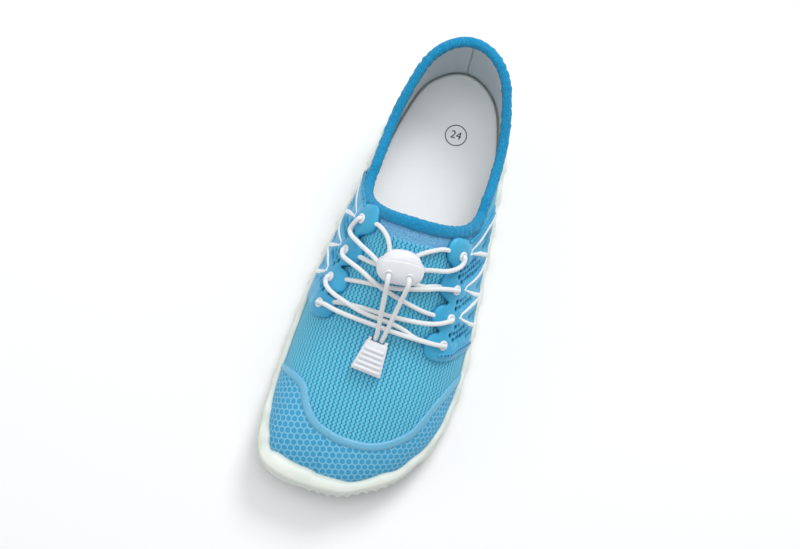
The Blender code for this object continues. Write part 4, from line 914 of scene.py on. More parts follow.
def stood_on(x, y, normal, lift, turn):
    """A piece's place on the vamp: Y toward the heel, Z off the vamp."""
    base = Vector((x, y, last_height(x, y))) + normal * lift
    across = Vector((1.0, 0.0, 0.0))
    across = (across - normal * across.dot(normal)).normalized()
    up = normal.cross(across).normalized()
    matrix = Matrix((
        (across.x, up.x, normal.x, 0), (across.y, up.y, normal.y, 0),
        (across.z, up.z, normal.z, 0), (0, 0, 0, 1),
    ))
    return Matrix.Translation(base) @ matrix @ Matrix.Rotation(turn, 4, "Z")


def lock_frame():
    x, y = LOCK_OFFSET, float(y_of(LOCK_STATION))
    return stood_on(x, y, last_normal(0.25 * x, y), LOCK_LIFT, LOCK_TURN)


def clip_frame():
    x, y = CLIP_OFFSET, float(y_of(CLIP_STATION))
    return stood_on(x, y, last_normal(x, y), CLIP_LIFT, CLIP_TURN)


def eyelet_place(row, lateral):
    """An eyelet's centre on its tab's top, and the direction off the tab."""
    x = (row[2] if lateral else row[1]) * BALL_WIDTH
    y = float(y_of(row[0] + (EYELET_LEAD if lateral else 0.0)))
    normal = last_normal(x, y)
    foot = Vector((x, y, last_height(x, y)))
    return foot + normal * (CLEARANCE + TAB_THICKNESS), normal


def add(tree, kind, inputs=None, **settings):
    """Add a node with its settings, and set or link its inputs."""
    made = tree.nodes.new(kind)
    for key, value in settings.items():
        setattr(made, key, value)
    for key, value in (inputs or {}).items():
        if isinstance(value, bpy.types.NodeSocket):
            tree.links.new(value, made.inputs[key])
        else:
            made.inputs[key].default_value = value
    return made


def new_look(name, roughness, colour=None, ior=1.5):
    """A material, its node tree and its Principled shader."""
    look = bpy.data.materials.new(name)
    look.use_nodes = True
    shader = look.node_tree.nodes["Principled BSDF"]
    shader.inputs["Roughness"].default_value = roughness
    shader.inputs["IOR"].default_value = ior
    if colour:
        shader.inputs["Base Color"].default_value = (*linear(colour), 1.0)
    return look, look.node_tree, shader


def skin_columns(pairs):
    """Pattern places of the foot line and of the collar's edge, in pairs round the upper."""
    ring = ring_indices(pairs)
    columns = []
    for lateral in (True, False):
        index = ring[:pairs + 1]
        if not lateral:
            index = np.r_[[ring[0]], ring[pairs + 1:][::-1], [ring[pairs]]]
        foot = FOOT[index]
        collar = collar_half(lateral)
        at = along(foot)
        far = along(collar)
        knee = np.interp(0.30, station_of(foot[:, 1]), at)
        knee_far = np.interp(0.24, station_of(collar[:, 1]), far)
        wanted = np.interp(at, [0.0, knee, 1.0], [0.0, knee_far, 1.0])
        top = np.stack([np.interp(wanted, far, collar[:, k]) for k in (0, 1)], axis=1)
        columns.append((foot, top))
    foot = np.vstack([columns[0][0], columns[1][0][1:-1][::-1]])
    top = np.vstack([columns[0][1], columns[1][1][1:-1][::-1]])
    return foot, top


def topline_height(station):
    return (
        topline_heel(station) * HEEL_HEIGHT
        + topline_ankle(station) * ANKLE_HEIGHT
        + topline_instep(station) * INSTEP_HEIGHT
    )


def collar_half(lateral):
    """The collar's edge on one side as pattern places, from the heel's back to the throat."""
    s = THROAT * (1 - np.cos(np.linspace(0, math.pi, 240))) / 2
    edge = foot_edge(np.clip(s, HEEL_PIVOT, 1.0), lateral)
    px, py = pole(s)
    whole = np.abs(edge - px)
    foot = bed_height(s) + CLEARANCE
    fullness = (lateral_fullness if lateral else medial_fullness)(s)
    ridge = ridge_share(s) * INSTEP_HEIGHT
    share = (topline_height(s) - BINDING_WIDTH - foot) / (ridge - foot)
    turn = np.arcsin(np.clip(share, 0.0, 1.0) ** (fullness / 2))
    q = 1 - turn / (math.pi / 2)
    ahead = np.clip((s - THROAT_START) / (THROAT - THROAT_START), 0.0, 1.0)
    start = np.interp(THROAT_START, s, q)
    q = np.where(ahead > 0, start * (1 - ahead ** THROAT_FULLNESS) ** (1 / THROAT_FULLNESS), q)
    sign = 1.0 if lateral else -1.0
    x = px + sign * q * whole
    y = y_of(s)
    behind = s < HEEL_PIVOT
    angle = np.where(behind, (HEEL_PIVOT - s) / HEEL_PIVOT * math.pi / 2, 0.0)
    radius = end_radius(px + sign * np.cos(angle), py + np.sin(angle), False)
    x = np.where(behind, px + sign * np.cos(angle) * q * radius, x)
    y = np.where(behind, py + np.sin(angle) * q * radius, y)
    return np.stack([x, y], axis=1)


def along(points):
    steps = np.linalg.norm(np.diff(points, axis=0), axis=1)
    total = np.r_[0.0, np.cumsum(steps)]
    return total / total[-1]


def grid_normals(grid):
    """Outward directions at a ring grid's points."""
    round_it = np.roll(grid, -1, axis=1) - np.roll(grid, 1, axis=1)
    up = np.empty_like(grid)
    up[1:-1] = grid[2:] - grid[:-2]
    up[0] = grid[1] - grid[0]
    up[-1] = grid[-1] - grid[-2]
    normal = np.cross(round_it, up)
    normal /= np.linalg.norm(normal, axis=2)[..., None]
    if (normal * (grid - grid.mean(axis=(0, 1)))).sum() < 0:
        normal = -normal
    return normal


def flat_place(x, y):
    """The flat skin's place for a place of the pattern."""
    s = station_of(y)
    px, py = pole(s)
    dx, dy = x - px, y - py
    reach = np.maximum(np.hypot(dx, dy), 1e-9)
    whole = whole_reach(x, y, s, px)
    q = np.clip(reach / whole, 0, 1) * (len(TURNS) - 1)
    j = np.clip(q.astype(int), 0, len(TURNS) - 2)

    def far(kind, t):
        rows = RAYS[kind][2]
        a = np.clip(t, 0, 1) * (len(rows) - 1)
        i = np.clip(a.astype(int), 0, len(rows) - 2)
        low = rows[i, j] + (rows[i + 1, j] - rows[i, j]) * (a - i)
        high = rows[i, j + 1] + (rows[i + 1, j + 1] - rows[i, j + 1]) * (a - i)
        return low + (high - low) * (q - j)

    length = by_fan(far, s, dx, dy)
    return np.stack([px + dx / reach * length, py + dy / reach * length], axis=-1)


def room(u, v):
    """Distance over the skin from a place of the flat skin down to the foot line."""
    s = station_of(v)
    px, py = pole(s)
    du, dv = u - px, v - py

    def end(kind, t):
        ends = RAYS[kind][1]
        return np.interp(np.clip(t, 0, 1) * (len(ends) - 1), np.arange(len(ends)), ends)

    return by_fan(end, s, du, dv) - np.hypot(du, dv)


def foot_places(side, v, margin):
    """Flat places on one side, a margin over the foot line."""
    sign = 1 if side == "lateral" else -1
    return held_in(np.stack([np.full_like(v, sign * SKIN_BEYOND), v], axis=1), margin)


def held_in(points, margin):
    """Flat places drawn in, along their ways from the ridge, to a margin over the foot line."""
    u, v = points[:, 0], points[:, 1]
    px, py = pole(station_of(v))
    reach = np.maximum(np.hypot(u - px, v - py), 1e-9)
    share = np.minimum(1.0, (reach + room(u, v) - margin) / reach)
    return np.stack([px + (u - px) * share, py + (v - py) * share], axis=1)


def heel_turned(pattern, spots):
    """The knit's places, its rows turned level round the heel."""
    px, py = pole(np.array(0.0))
    dx, dy = pattern[..., 0] - px, pattern[..., 1] - py
    reach = np.hypot(spots[..., 0] - px, spots[..., 1] - py)
    turn = np.arctan2(dy, np.maximum(np.abs(dx), 1e-9))
    level = np.stack([px + np.sign(dx) * reach, py + turn * HEEL_ROUND], axis=-1)
    return np.where((dy > 0)[..., None], level, spots)


def make_upper(looks, pairs=170, rows=64):
    """The knit sock with its thickness, from the foot line to the collar's edge."""
    foot, top = skin_columns(pairs)
    t = np.linspace(0.0, 1.0, rows)
    t = 0.35 * t + 0.65 * t ** 1.35  # closer rows where the wall turns in at the sole
    pattern = foot[None] + (top - foot)[None] * t[:, None, None]
    outer = last_point(pattern[..., 0], pattern[..., 1])
    normals = grid_normals(outer)
    spots = heel_turned(pattern, flat_place(pattern[..., 0], pattern[..., 1]))
    steps = np.linalg.norm(np.diff(outer, axis=0), axis=2)
    from_rim = np.vstack([np.cumsum(steps[::-1], axis=0)[::-1], np.zeros((1, steps.shape[1]))])
    inner_rows = np.r_[np.arange(rows - 1, -1, -4)]
    row = np.r_[np.arange(rows), [rows - 1], inner_rows, [0]]
    depth = np.r_[np.zeros(rows), [UPPER_WALL * 0.5], np.full(len(inner_rows), UPPER_WALL), [0.0]]
    if inner_rows[-1] != 0:
        row = np.r_[row[:-1], [0, 0]]
        depth = np.r_[depth[:-1], [UPPER_WALL, 0.0]]

    def place(i, j):
        return outer[row[j], i] - normals[row[j], i] * depth[j][:, None]

    count = 2 * pairs
    bm = grid_mesh(
        count, len(row), place,
        {"flat": lambda i, j: spots[row[j], i % count] * 1000,
         "rim": lambda i, j: np.stack([np.where(j > rows, -10, from_rim[row[j], i % count] * 1000),
                                       station_of(outer[row[j], i % count, 1]) * 100], axis=1)})
    outward(bm)
    piece = new_piece("knit_upper", bm, looks)
    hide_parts("upper")
    return outer, normals


def make_collar(outer, normals, looks, sides=28, count=560):
    """The plush roll round the collar, a little uneven."""
    edge = outer[-1]
    up = outer[-1] - outer[-3]
    up /= np.linalg.norm(up, axis=1)[:, None]
    steps = np.linalg.norm(np.roll(edge, -1, axis=0) - edge, axis=1)
    far = np.r_[0, np.cumsum(steps)]
    wanted = np.linspace(0, far[-1], count, endpoint=False)

    def eased(rows, passes):
        rows = np.vstack([rows, rows[:1]])
        rows = np.stack([np.interp(wanted, far, rows[:, k]) for k in range(3)], axis=1)
        for _ in range(passes):
            rows = (np.roll(rows, 1, axis=0) + 2 * rows + np.roll(rows, -1, axis=0)) / 4
        return rows

    edge, up, out = eased(edge, 24), eased(up, 60), eased(normals[-1], 60)
    up /= np.linalg.norm(up, axis=1)[:, None]
    out /= np.linalg.norm(out, axis=1)[:, None]
    rng = np.random.default_rng(4)
    turn = np.arange(count) / count * 2 * math.pi
    puff = np.zeros(count)
    for _ in range(12):
        puff += rng.uniform(0.02, 0.05) * np.sin(rng.integers(15, 90) * turn + rng.uniform(0, 6.28))
    nap = rng.normal(size=(count, sides))
    for axis in (0, 1):
        nap = nap + (np.roll(nap, 1, axis=axis) + np.roll(nap, -1, axis=axis)) / 2
    puff = (puff[:, None] + 0.07 * nap) * MM
    girth = np.arange(sides) / sides * 2 * math.pi

    def place(i, j):
        a = girth[j % sides]
        cos = np.sign(np.cos(a)) * np.abs(np.cos(a)) ** 0.85
        sin = np.sign(np.sin(a)) * np.abs(np.sin(a)) ** 0.8
        wide = BINDING_THICKNESS / 2 + 0.15 * MM + puff[i, j % sides]
        tall = BINDING_WIDTH / 2 + 0.3 * MM + puff[i, j % sides] * 0.6
        across = -UPPER_WALL / 2 + cos * wide
        lift = 0.2 * MM + BINDING_WIDTH / 2 + sin * tall
        return edge[i] + up[i] * lift[:, None] + out[i] * across[:, None]

    bm = grid_mesh(count, sides + 1, place)
    outward(bm)
    piece = new_piece("plush_collar", bm, looks)
    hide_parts("collar_binding")


def cage_outline(side):
    """The cage's outline on the flat skin, its lower edge along the sole's rim."""
    rows = LATERAL_CAGE if side == "lateral" else MEDIAL_CAGE
    upper = held_in(spline_through(flat_of(rows), 8), CAGE_MARGIN)
    lower = foot_places(side, np.linspace(upper[-1, 1], upper[0, 1], 80)[1:-1], CAGE_MARGIN)
    return even(np.vstack([upper, lower, upper[:1]]), 0.9 * MM)[:-1]


def eyelet_spots(side):
    """The eyelets' places on the flat skin, one side's four."""
    lateral = side == "lateral"
    rows = [(row[0] + EYELET_LEAD, row[2]) if lateral else row[:2] for row in EYELETS]
    return flat_of(rows)


def on_side(side, rows):
    """Flat places for stations and shares of the way from the eyelets to the foot line."""
    eyes = eyelet_spots(side)
    rows = np.array(rows, float)
    s = rows[:, 0]
    if side == "medial":
        s = s + np.interp(s, *np.array(MEDIAL_SHIFT).T)
    v = y_of(s)
    inner = np.interp(s, station_of(eyes[:, 1]), eyes[:, 0])
    outer = foot_places(side, v, 0.0)[:, 0]
    return np.stack([inner + (outer - inner) * rows[:, 1], v], axis=1)


def cage_top(side, spots):
    """Height of the cage's face over the skin, before its edges are rounded."""
    tab = CLEARANCE + TAB_THICKNESS
    height = np.full(len(spots), CAGE_FACE)
    for centre in eyelet_spots(side):
        far = np.linalg.norm((spots - centre) * (0.82, 1.0), axis=1)
        height += (tab - CAGE_FACE) * (1 - smoothstep(far, 5 * MM, 13 * MM))
    return np.minimum(height, tab)


def cage_low(side, spots):
    """Height of the cage's underside: up off the skin under the eyelets' tabs."""
    height = np.zeros(len(spots))
    for centre in eyelet_spots(side):
        far = np.linalg.norm(spots - centre, axis=1)
        height = np.maximum(height, 2.5 * MM * (1 - smoothstep(far, 5 * MM, 10 * MM)))
    return height


def net_region(side):
    """The part of a side that nets can fill: ahead of the first white line, to the front ridge."""
    sign, shift = (1, 0.0) if side == "lateral" else (-1, NET_RIDGE_SHIFT)
    ridge = flat_of([(s - shift, sign * x) for s, x in FRONT_RIDGE])
    return np.vstack([on_side(side, WHITE_LINES[0][:4]), on_side(side, NET_TOP), ridge])


def net_holes(side, cell, rib):
    """Six-sided holes in even rows, kept off the lines, the eyelets and the edges."""
    region = net_region(side)
    low, high = region.min(axis=0), region.max(axis=0)
    radius = (cell - rib) / math.sqrt(3)
    angles = np.arange(6) * math.pi / 3
    corners = np.stack([np.cos(angles), np.sin(angles)], axis=1) * radius
    spots = []
    across = cell * math.sqrt(3) / 2
    for i in range(int(math.floor(low[0] / across)), int(math.ceil(high[0] / across)) + 1):
        for j in range(int(math.floor(low[1] / cell)) - 1, int(math.ceil(high[1] / cell)) + 1):
            spots.append((i * across, (j + 0.5 * (i % 2)) * cell))
    spots = np.array(spots)
    lines = [on_side(side, rows) for rows in WHITE_LINES]
    ridge = [region[-len(FRONT_RIDGE):]]
    eyes = np.linalg.norm(spots[:, None] - eyelet_spots(side)[None], axis=2).min(axis=1)
    kept = inside(spots, region) & (eyes > NET_OFF_EYELET)
    kept &= segments_distance(spots, lines, False) > radius + NET_OFF_LINE
    kept &= segments_distance(spots, ridge, False) > radius + NET_OFF_RIDGE
    kept &= segments_distance(spots, [cage_outline(side)]) > radius + NET_OFF_EDGE
    return [spot + corners for spot in spots[kept]]


def make_cage(side, looks, lining_looks, line_looks, settings):
    """One moulded side: its tabs, its nets of holes, and the white lines on it."""
    outline = cage_outline(side)
    holes = net_holes(side, settings.net_cell, settings.net_rib)
    bm = cut_sheet(outline, holes)

    def top(spots):
        edge = segments_distance(spots, [outline])
        hole = segments_distance(spots, holes)
        sunk = 0.4 * MM * (1 - smoothstep(hole, 0.5 * MM, 1.1 * MM))
        sunk += 0.55 * MM * (1 - np.clip(edge / (2.6 * MM), 0, 1))
        sunk += 0.7 * MM * (1 - rolled(np.clip(edge / (0.8 * MM), 0, 1)))
        sunk += 0.2 * MM * (1 - rolled(np.clip(hole / (0.3 * MM), 0, 1)))
        return cage_top(side, spots) - sunk

    lay_on(bm, lambda spots: cage_low(side, spots), top)
    piece = new_piece(f"cage_{side}_moulding", bm, looks)
    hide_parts(f"cage_{side}")
    bm = cut_sheet(held_in(even(net_region(side), 1.0 * MM), NET_MARGIN))
    lay_on(bm, lambda spots: np.full(len(spots), -0.1 * MM),
           lambda spots: cage_low(side, spots) * 0.9 + 0.12 * MM)
    new_piece(f"lining_{side}", bm, lining_looks)
    for number, rows in enumerate(WHITE_LINES, 1):
        line = ribbon(on_side(side, rows), LINE_HALF)
        line = held_in(even(np.vstack([line, line[:1]]), 0.7 * MM)[:-1], LINE_MARGIN)
        bm = cut_sheet(line)

        def line_top(spots, line=line):
            crown = LINE_CROWN * rolled(rise(spots, [line], 0.5 * MM))
            return cage_top(side, spots) + crown + 0.1 * MM

        lay_on(bm, lambda spots: cage_top(side, spots) - 0.3 * MM, line_top)
        new_piece(f"white_line_{side}_{number}", bm, line_looks)


def make_trim(side, looks, panel_looks, dash_looks):
    """The collar's raised panel on one side, and the lateral cage's front ridge."""
    sign = 1 if side == "lateral" else -1
    edge = flat_of([(row[0], sign * row[1]) for row in COLLAR_PANEL])
    near, wide = ((np.array([(sign * row[k], 0.0) for row in COLLAR_PANEL]) * MM) for k in (2, 3))
    loop = rounded(np.vstack([edge + near, (edge + wide)[::-1]]), 6)
    loop = even(np.vstack([loop, loop[:1]]), 0.9 * MM)[:-1]
    inner = loop - loop_outward(loop) * PANEL_RIM
    inner = inner[segments_distance(inner, [loop]) > PANEL_RIM - 0.04 * MM]

    def low(spots):
        return cage_top(side, spots) - 0.4 * MM

    def rim_top_at(spots):
        crown = 0.5 * MM * rolled(rise(spots, [loop, inner], 0.45 * MM))
        return cage_top(side, spots) + 0.15 * MM + crown

    def face_top(spots):
        edge = rise(spots, [inner], 2.2 * MM)
        return cage_top(side, spots) + 0.05 * MM + 0.7 * MM * edge * (2 - edge)

    rim = lay_on(cut_sheet(loop, [inner], 2.4 * MM), low, rim_top_at)
    new_piece(f"collar_panel_rim_{side}", rim, looks)
    face = lay_on(cut_sheet(inner), low, face_top)
    new_piece(f"collar_panel_{side}", face, panel_looks)
    if side == "medial":
        return
    path = even(spline_through(flat_of(FRONT_RIDGE), 10), 0.6 * MM)
    dashes = [path[k:k + 3] for k in range(2, len(path) - 4, 4)]
    for name, parts, half, lift, look in (
            ("front_ridge", [path], 0.95 * MM, 0.45 * MM, looks),
            ("front_dashes", dashes, 0.32 * MM, 0.58 * MM, dash_looks)):
        whole = bmesh.new()
        for part in parts:
            stripe = cut_sheet(held_in(ribbon(part, half), RIDGE_MARGIN), (), 2.4 * MM)
            join(whole, lay_on(stripe, low, lambda p, lift=lift: cage_top(side, p) + lift))
        new_piece(name, whole, look)


def band_path():
    return spline_through(flat_of(TOE_BAND), 8)


def make_band(looks):
    """The welded stripe over the toes."""
    outline = held_in(even(ribbon(band_path(), BAND_WIDTH / 2), 0.8 * MM), BAND_MARGIN)
    bm = cut_sheet(outline)
    lay_on(bm, lambda spots: np.zeros(len(spots)),
           lambda spots: 0.35 * MM + 0.75 * MM * rolled(rise(spots, [outline], 0.9 * MM)))
    piece = new_piece("toe_band_film", bm, looks)
    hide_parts("toe_band")


def make_toe_net(looks, settings):
    """The open six-sided mesh ahead of the band."""
    path = band_path()
    toe = np.array([(0.12, path[-1, 1]), (0.12, -0.30), (-0.12, -0.30), (-0.12, path[0, 1])])
    region = np.vstack([path, toe])

    def keep(spots):
        return inside(spots, region) & (room(spots[:, 0], spots[:, 1]) > 4.2 * MM)

    net = hex_net(keep, settings.toe_cell, rib=0.55 * MM, top=0.50 * MM, floor=0.12 * MM,
                  crown=0.1 * MM, turn=0.25)
    new_piece("toe_mesh", net, looks)


def lathe(bm, profile, matrix, steps=40):
    """A ring turned from a closed profile of radius and height."""
    verts = [bm.verts.new((radius, 0.0, height)) for radius, height in profile]
    edges = [bm.edges.new((a, b)) for a, b in zip(verts, verts[1:] + verts[:1])]
    before = set(bm.verts) - set(verts)
    bmesh.ops.spin(bm, geom=verts + edges, cent=(0, 0, 0), axis=(0, 0, 1), dvec=(0, 0, 0),
                   angle=2 * math.pi, steps=steps, use_merge=True)
    made = [v for v in bm.verts if v not in before]
    bmesh.ops.transform(bm, matrix=matrix, verts=made)
    return made


def make_eyelets(looks):
    """The eight flanged rings on the tabs."""
    bm = bmesh.new()
    names = []
    bore, r = EYELET_BORE, EYELET_RADIUS
    profile = [(bore, -1.2 * MM), (bore + 0.3 * MM, -1.2 * MM), (bore + 0.3 * MM, 0.0),
               (r, 0.0), (r, 0.35 * MM)]
    for t in np.linspace(0, math.pi / 2, 9)[1:8]:
        profile.append((r - 0.9 * MM * (1 - math.cos(t)), (0.35 + 0.8 * math.sin(t)) * MM))
    for t in np.linspace(0, math.pi / 2, 8):
        profile.append((bore + 0.45 * MM * (1 - math.sin(t)), (0.5 + 0.65 * math.cos(t)) * MM))
    for number, row in enumerate(EYELETS, 1):
        for lateral in (False, True):
            centre, normal = eyelet_place(row, lateral)
            turn = normal.to_track_quat("Z", "Y").to_matrix().to_4x4()
            lathe(bm, profile, Matrix.Translation(centre) @ turn)
            names.append(f"eyelet_{'lateral' if lateral else 'medial'}_{number}")
    outward(bm)
    piece = new_piece("eyelet_rings", bm, looks)
    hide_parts(*names)


def through(number, lateral, up):
    """The lace's way through an eyelet, from under its tab or from over it."""
    centre, normal = eyelet_place(EYELETS[number - 1], lateral)
    way = [centre + normal * h * MM for h in (-1.3, 0.0, 1.5)]
    return way if up else way[::-1]


def run(name, back=False):
    rows = LACE_RUNS[name]
    points = [over_upper(*row) for row in rows]
    return points[::-1] if back else points


def make_lace(looks):
    """The one elastic lace, through every eyelet, as far as the lock."""
    lock = lock_frame()
    parts = [
        [lock @ Vector((LOCK_HOLES[0], LOCK_HOLE_Y, 2.0 * MM))], run("lead_medial", True),
        through(1, False, True), run("cross_g"), through(2, True, True), run("cross_d", True),
        through(3, False, True), run("cross_b"), through(4, True, True),
        run("bottom_bar", True), through(4, False, False), run("cross_a"),
        through(3, True, False), run("cross_e", True), through(2, False, False),
        run("cross_f"), through(1, True, False), run("lead_lateral"),
        [lock @ Vector((LOCK_HOLES[1], LOCK_HOLE_Y, 2.0 * MM))],
    ]
    points = np.array([tuple(p) for part in parts for p in part])
    path = even(spline_through(points, 14), 0.9 * MM)
    rings = np.array([eyelet_place(row, lateral)[0]
                      for row in EYELETS for lateral in (True, False)])
    free = np.linalg.norm(path[:, None] - rings[None], axis=2).min(axis=1)
    free = smoothstep(free, 2.0 * MM, 5.0 * MM)[1:-1, None] * 0.5
    for _ in range(10):
        path[1:-1] += ((path[2:] + path[:-2]) / 2 - path[1:-1]) * free
    bm = tube(path, LACE_RADIUS, 16)
    piece = new_piece("elastic_lace", bm, looks)
    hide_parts("lace_lower", "lace_upper", "lace_lead_medial", "lace_lead_lateral")


def end_path(number):
    """The centre line of one free end, from the lock's hole to the clip."""
    lock = lock_frame()
    clip = clip_frame()
    top = CLIP_LENGTH / 2
    x = LOCK_HOLES[number]
    sign = -1.0 if number == 0 else 1.0
    start = lock @ Vector((x, LOCK_HOLE_Y, LOCK_THICKNESS + 0.8 * MM))
    rise = lock @ Vector((x, LOCK_HOLE_Y - 0.9 * MM, LOCK_THICKNESS + 2.2 * MM))
    over = lock @ Vector((x, LOCK_HOLE_Y - 3.4 * MM, LOCK_THICKNESS + 2.5 * MM))
    end = clip @ Vector((sign * 1.7 * MM, top + 1.2 * MM, CLIP_THICKNESS * 0.50))
    near = clip @ Vector((sign * 1.9 * MM, top + 4.0 * MM, CLIP_THICKNESS * 0.84))
    middle = []
    for t in (0.3, 0.5, 0.7):
        middle.append(over.lerp(near, t) - Vector((0.0, 0.0, 4 * END_SAG * t * (1 - t))))
    route = spline_through([tuple(p) for p in (start, rise, over, *middle, near, end)], 12)
    return even(route, 0.9 * MM)


def make_ends(looks):
    """The lace's two free ends, down from the lock to the clip."""
    for number, side in enumerate(("medial", "lateral")):
        path = end_path(number)
        piece = new_piece(f"lace_end_{side}_cord", tube(path, LACE_RADIUS, 16), looks)
        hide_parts(f"lace_end_{side}")


def pebble(half, power=2.7):
    """A rounded oval block, from a sphere squared off a little."""
    bm = bmesh.new()
    bmesh.ops.create_uvsphere(bm, u_segments=72, v_segments=36, radius=1.0)
    for vert in bm.verts:
        p = vert.co
        size = sum(abs(c) ** power for c in p) ** (1 / power)
        vert.co = Vector((p.x / size * half[0], p.y / size * half[1],
                          p.z / size * half[2] + half[2]))
    return bm


def cut_face(bm, y, keep_low, lip, recess):
    """Cut a block across, round the cut's edge, and sink what is inside a lip."""
    bmesh.ops.bisect_plane(
        bm, geom=bm.verts[:] + bm.edges[:] + bm.faces[:], dist=1e-7, plane_co=(0, y, 0),
        plane_no=(0, 1, 0), clear_outer=keep_low, clear_inner=not keep_low)
    rim = [e for e in bm.edges if e.is_boundary]
    faces = bmesh.ops.contextual_create(bm, geom=rim)["faces"]
    spots = [v.co.copy() for v in faces[0].verts]
    middle = sum(spots, Vector()) / len(spots)
    wide, tall = (max(abs(p[k] - middle[k]) for p in spots) for k in (0, 2))
    way = -1 if keep_low else 1
    before = 0.0
    for inset, depth in ((0.3 * lip, -0.25 * lip), (0.7 * lip, -0.25 * lip), (lip, 0.0),
                         (lip, recess)):
        made = bmesh.ops.extrude_face_region(bm, geom=faces)["geom"]
        bmesh.ops.delete(bm, geom=faces, context="FACES_KEEP_BOUNDARY")
        faces = [f for f in made if isinstance(f, bmesh.types.BMFace)]
        sx, sz = ((size - inset) / (size - before) for size in (wide, tall))
        for vert in faces[0].verts:
            vert.co.x = middle.x + (vert.co.x - middle.x) * sx
            vert.co.z = middle.z + (vert.co.z - middle.z) * sz
            vert.co.y = y + way * depth
        before = inset


def bowed(bm):
    """Bend a block's back part toward the toe at its two ends."""
    for vert in bm.verts:
        share = float(smoothstep(vert.co.y, -3.0 * MM, 3.0 * MM))
        vert.co.y -= share * LOCK_BOW * (vert.co.x / (LOCK_WIDTH / 2)) ** 2


def make_lock(looks):
    """The cord lock: its body toward the toe, and the sprung button that slides into it."""
    place = lock_frame()
    half = (LOCK_WIDTH / 2, LOCK_LENGTH / 2, LOCK_THICKNESS / 2)
    split = LOCK_LENGTH * (0.5 - BUTTON_SHARE)
    gap = split + BUTTON_TRAVEL + CLEARANCE
    body = pebble(half)
    cut_face(body, gap - 0.1 * MM, True, LOCK_LIP, gap + LOCK_MOUTH)
    bowed(body)
    for x in LOCK_HOLES:
        ring = [(1.45 * MM, -0.8 * MM), (2.3 * MM, -0.8 * MM), (2.25 * MM, 0.0),
                (1.95 * MM, 0.25 * MM), (1.6 * MM, 0.2 * MM), (1.45 * MM, -0.1 * MM)]
        at = Matrix.Translation((x, LOCK_HOLE_Y, LOCK_THICKNESS - 0.45 * MM))
        lathe(body, ring, at @ Matrix.Rotation(math.radians(14), 4, "X"), 28)
    bmesh.ops.transform(body, matrix=place, verts=body.verts)
    outward(body)
    piece = new_piece("lock_shell", body, looks)
    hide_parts("lock_body")
    button = pebble((half[0] - 1.25 * MM, half[1] + 0.2 * MM, half[2] - BUTTON_RAISE))
    bmesh.ops.translate(button, vec=(0, 0, BUTTON_RAISE), verts=button.verts)
    cut_face(button, split + 0.4 * MM, False, BUTTON_LIP, 0.2 * MM)
    bowed(button)
    bmesh.ops.transform(button, matrix=place, verts=button.verts)
    outward(button)
    piece = new_piece("lock_push_button", button, looks, body="button")
    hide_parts("lock_button")


def block(bm, corners, matrix, bevel):
    """A convex block over given corners, with round edges."""
    before = set(bm.verts)
    bmesh.ops.convex_hull(bm, input=[bm.verts.new(c) for c in corners])
    edges = [e for e in bm.edges if e.verts[0] not in before]
    flat = [e for e in edges if e.calc_face_angle(0.0) < 0.05]
    bmesh.ops.dissolve_edges(bm, edges=flat, use_verts=False)
    edges = [e for e in bm.edges if e.verts[0] not in before]
    bmesh.ops.bevel(bm, geom=edges, offset=bevel, offset_type="OFFSET", segments=3,
                    profile=0.5, affect="EDGES", material=-1)
    made = [v for v in bm.verts if v not in before]
    bmesh.ops.transform(bm, matrix=matrix, verts=made)


def make_clip(looks):
    """The clip on the lace's ends: a tapered block with a ribbed lid and two small horns."""
    place = clip_frame()
    wide, narrow, half = CLIP_WIDTH / 2, CLIP_TOP_WIDTH / 2, CLIP_LENGTH / 2
    tall = CLIP_THICKNESS
    bm = bmesh.new()

    def slab(bottom, top, front, back, low, high):
        return [(-bottom, front, low), (bottom, front, low), (top, back, low), (-top, back, low),
                (-bottom, front, high), (bottom, front, high), (top, back, high),
                (-top, back, high)]

    block(bm, slab(wide, narrow, -half, half, 0.0, tall * 0.66), place, 0.9 * MM)
    for number in range(CLIP_RIBS):
        y = -half + (number + 0.75) * CLIP_LENGTH * 0.78 / CLIP_RIBS
        reach = wide + (narrow - wide) * (y + half) / CLIP_LENGTH - 1.0 * MM
        rib = slab(reach, reach, y - 0.85 * MM, y + 0.85 * MM, tall * 0.55, tall * 0.80)
        block(bm, rib, place, 0.55 * MM)
    for sign in (-1, 1):
        horn = [(sign * narrow * share, half + ahead * MM, z)
                for share, ahead in ((0.62, 1.6), (0.92, 1.6), (0.92, -2.0), (0.62, -2.0))
                for z in (0.8 * MM, tall * 0.6)]
        block(bm, horn, place, 0.4 * MM)
    outward(bm)
    piece = new_piece("clip_moulding", bm, looks)
    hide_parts("lace_clip")
    return piece


def between(bm, ring, pairs, rows, height):
    """A sheet across a ring, in rows between its paired points."""
    count = 2 * pairs

    def place(i, j):
        a, b = ring[i], ring[(count - i) % count]
        spots = a + (b - a) * (j / (rows - 1))[:, None]
        return np.column_stack([spots, height(spots, i, j)])

    join(bm, grid_mesh(pairs, rows, place, closed=False))


def side_lengths(pairs):
    """Distance along the sole's edge from the heel's back at each point of the ring."""
    index = ring_indices(pairs)
    far = []
    for lateral in (True, False):
        side = side_points(lateral)
        steps = np.linalg.norm(np.diff(DENSE[side], axis=0), axis=1)
        table = np.zeros(len(DENSE))
        table[side] = np.r_[0.0, np.cumsum(steps)]
        far.append(table)
    ring = np.arange(2 * pairs)
    return np.where(ring <= pairs, far[0][index], far[1][index])


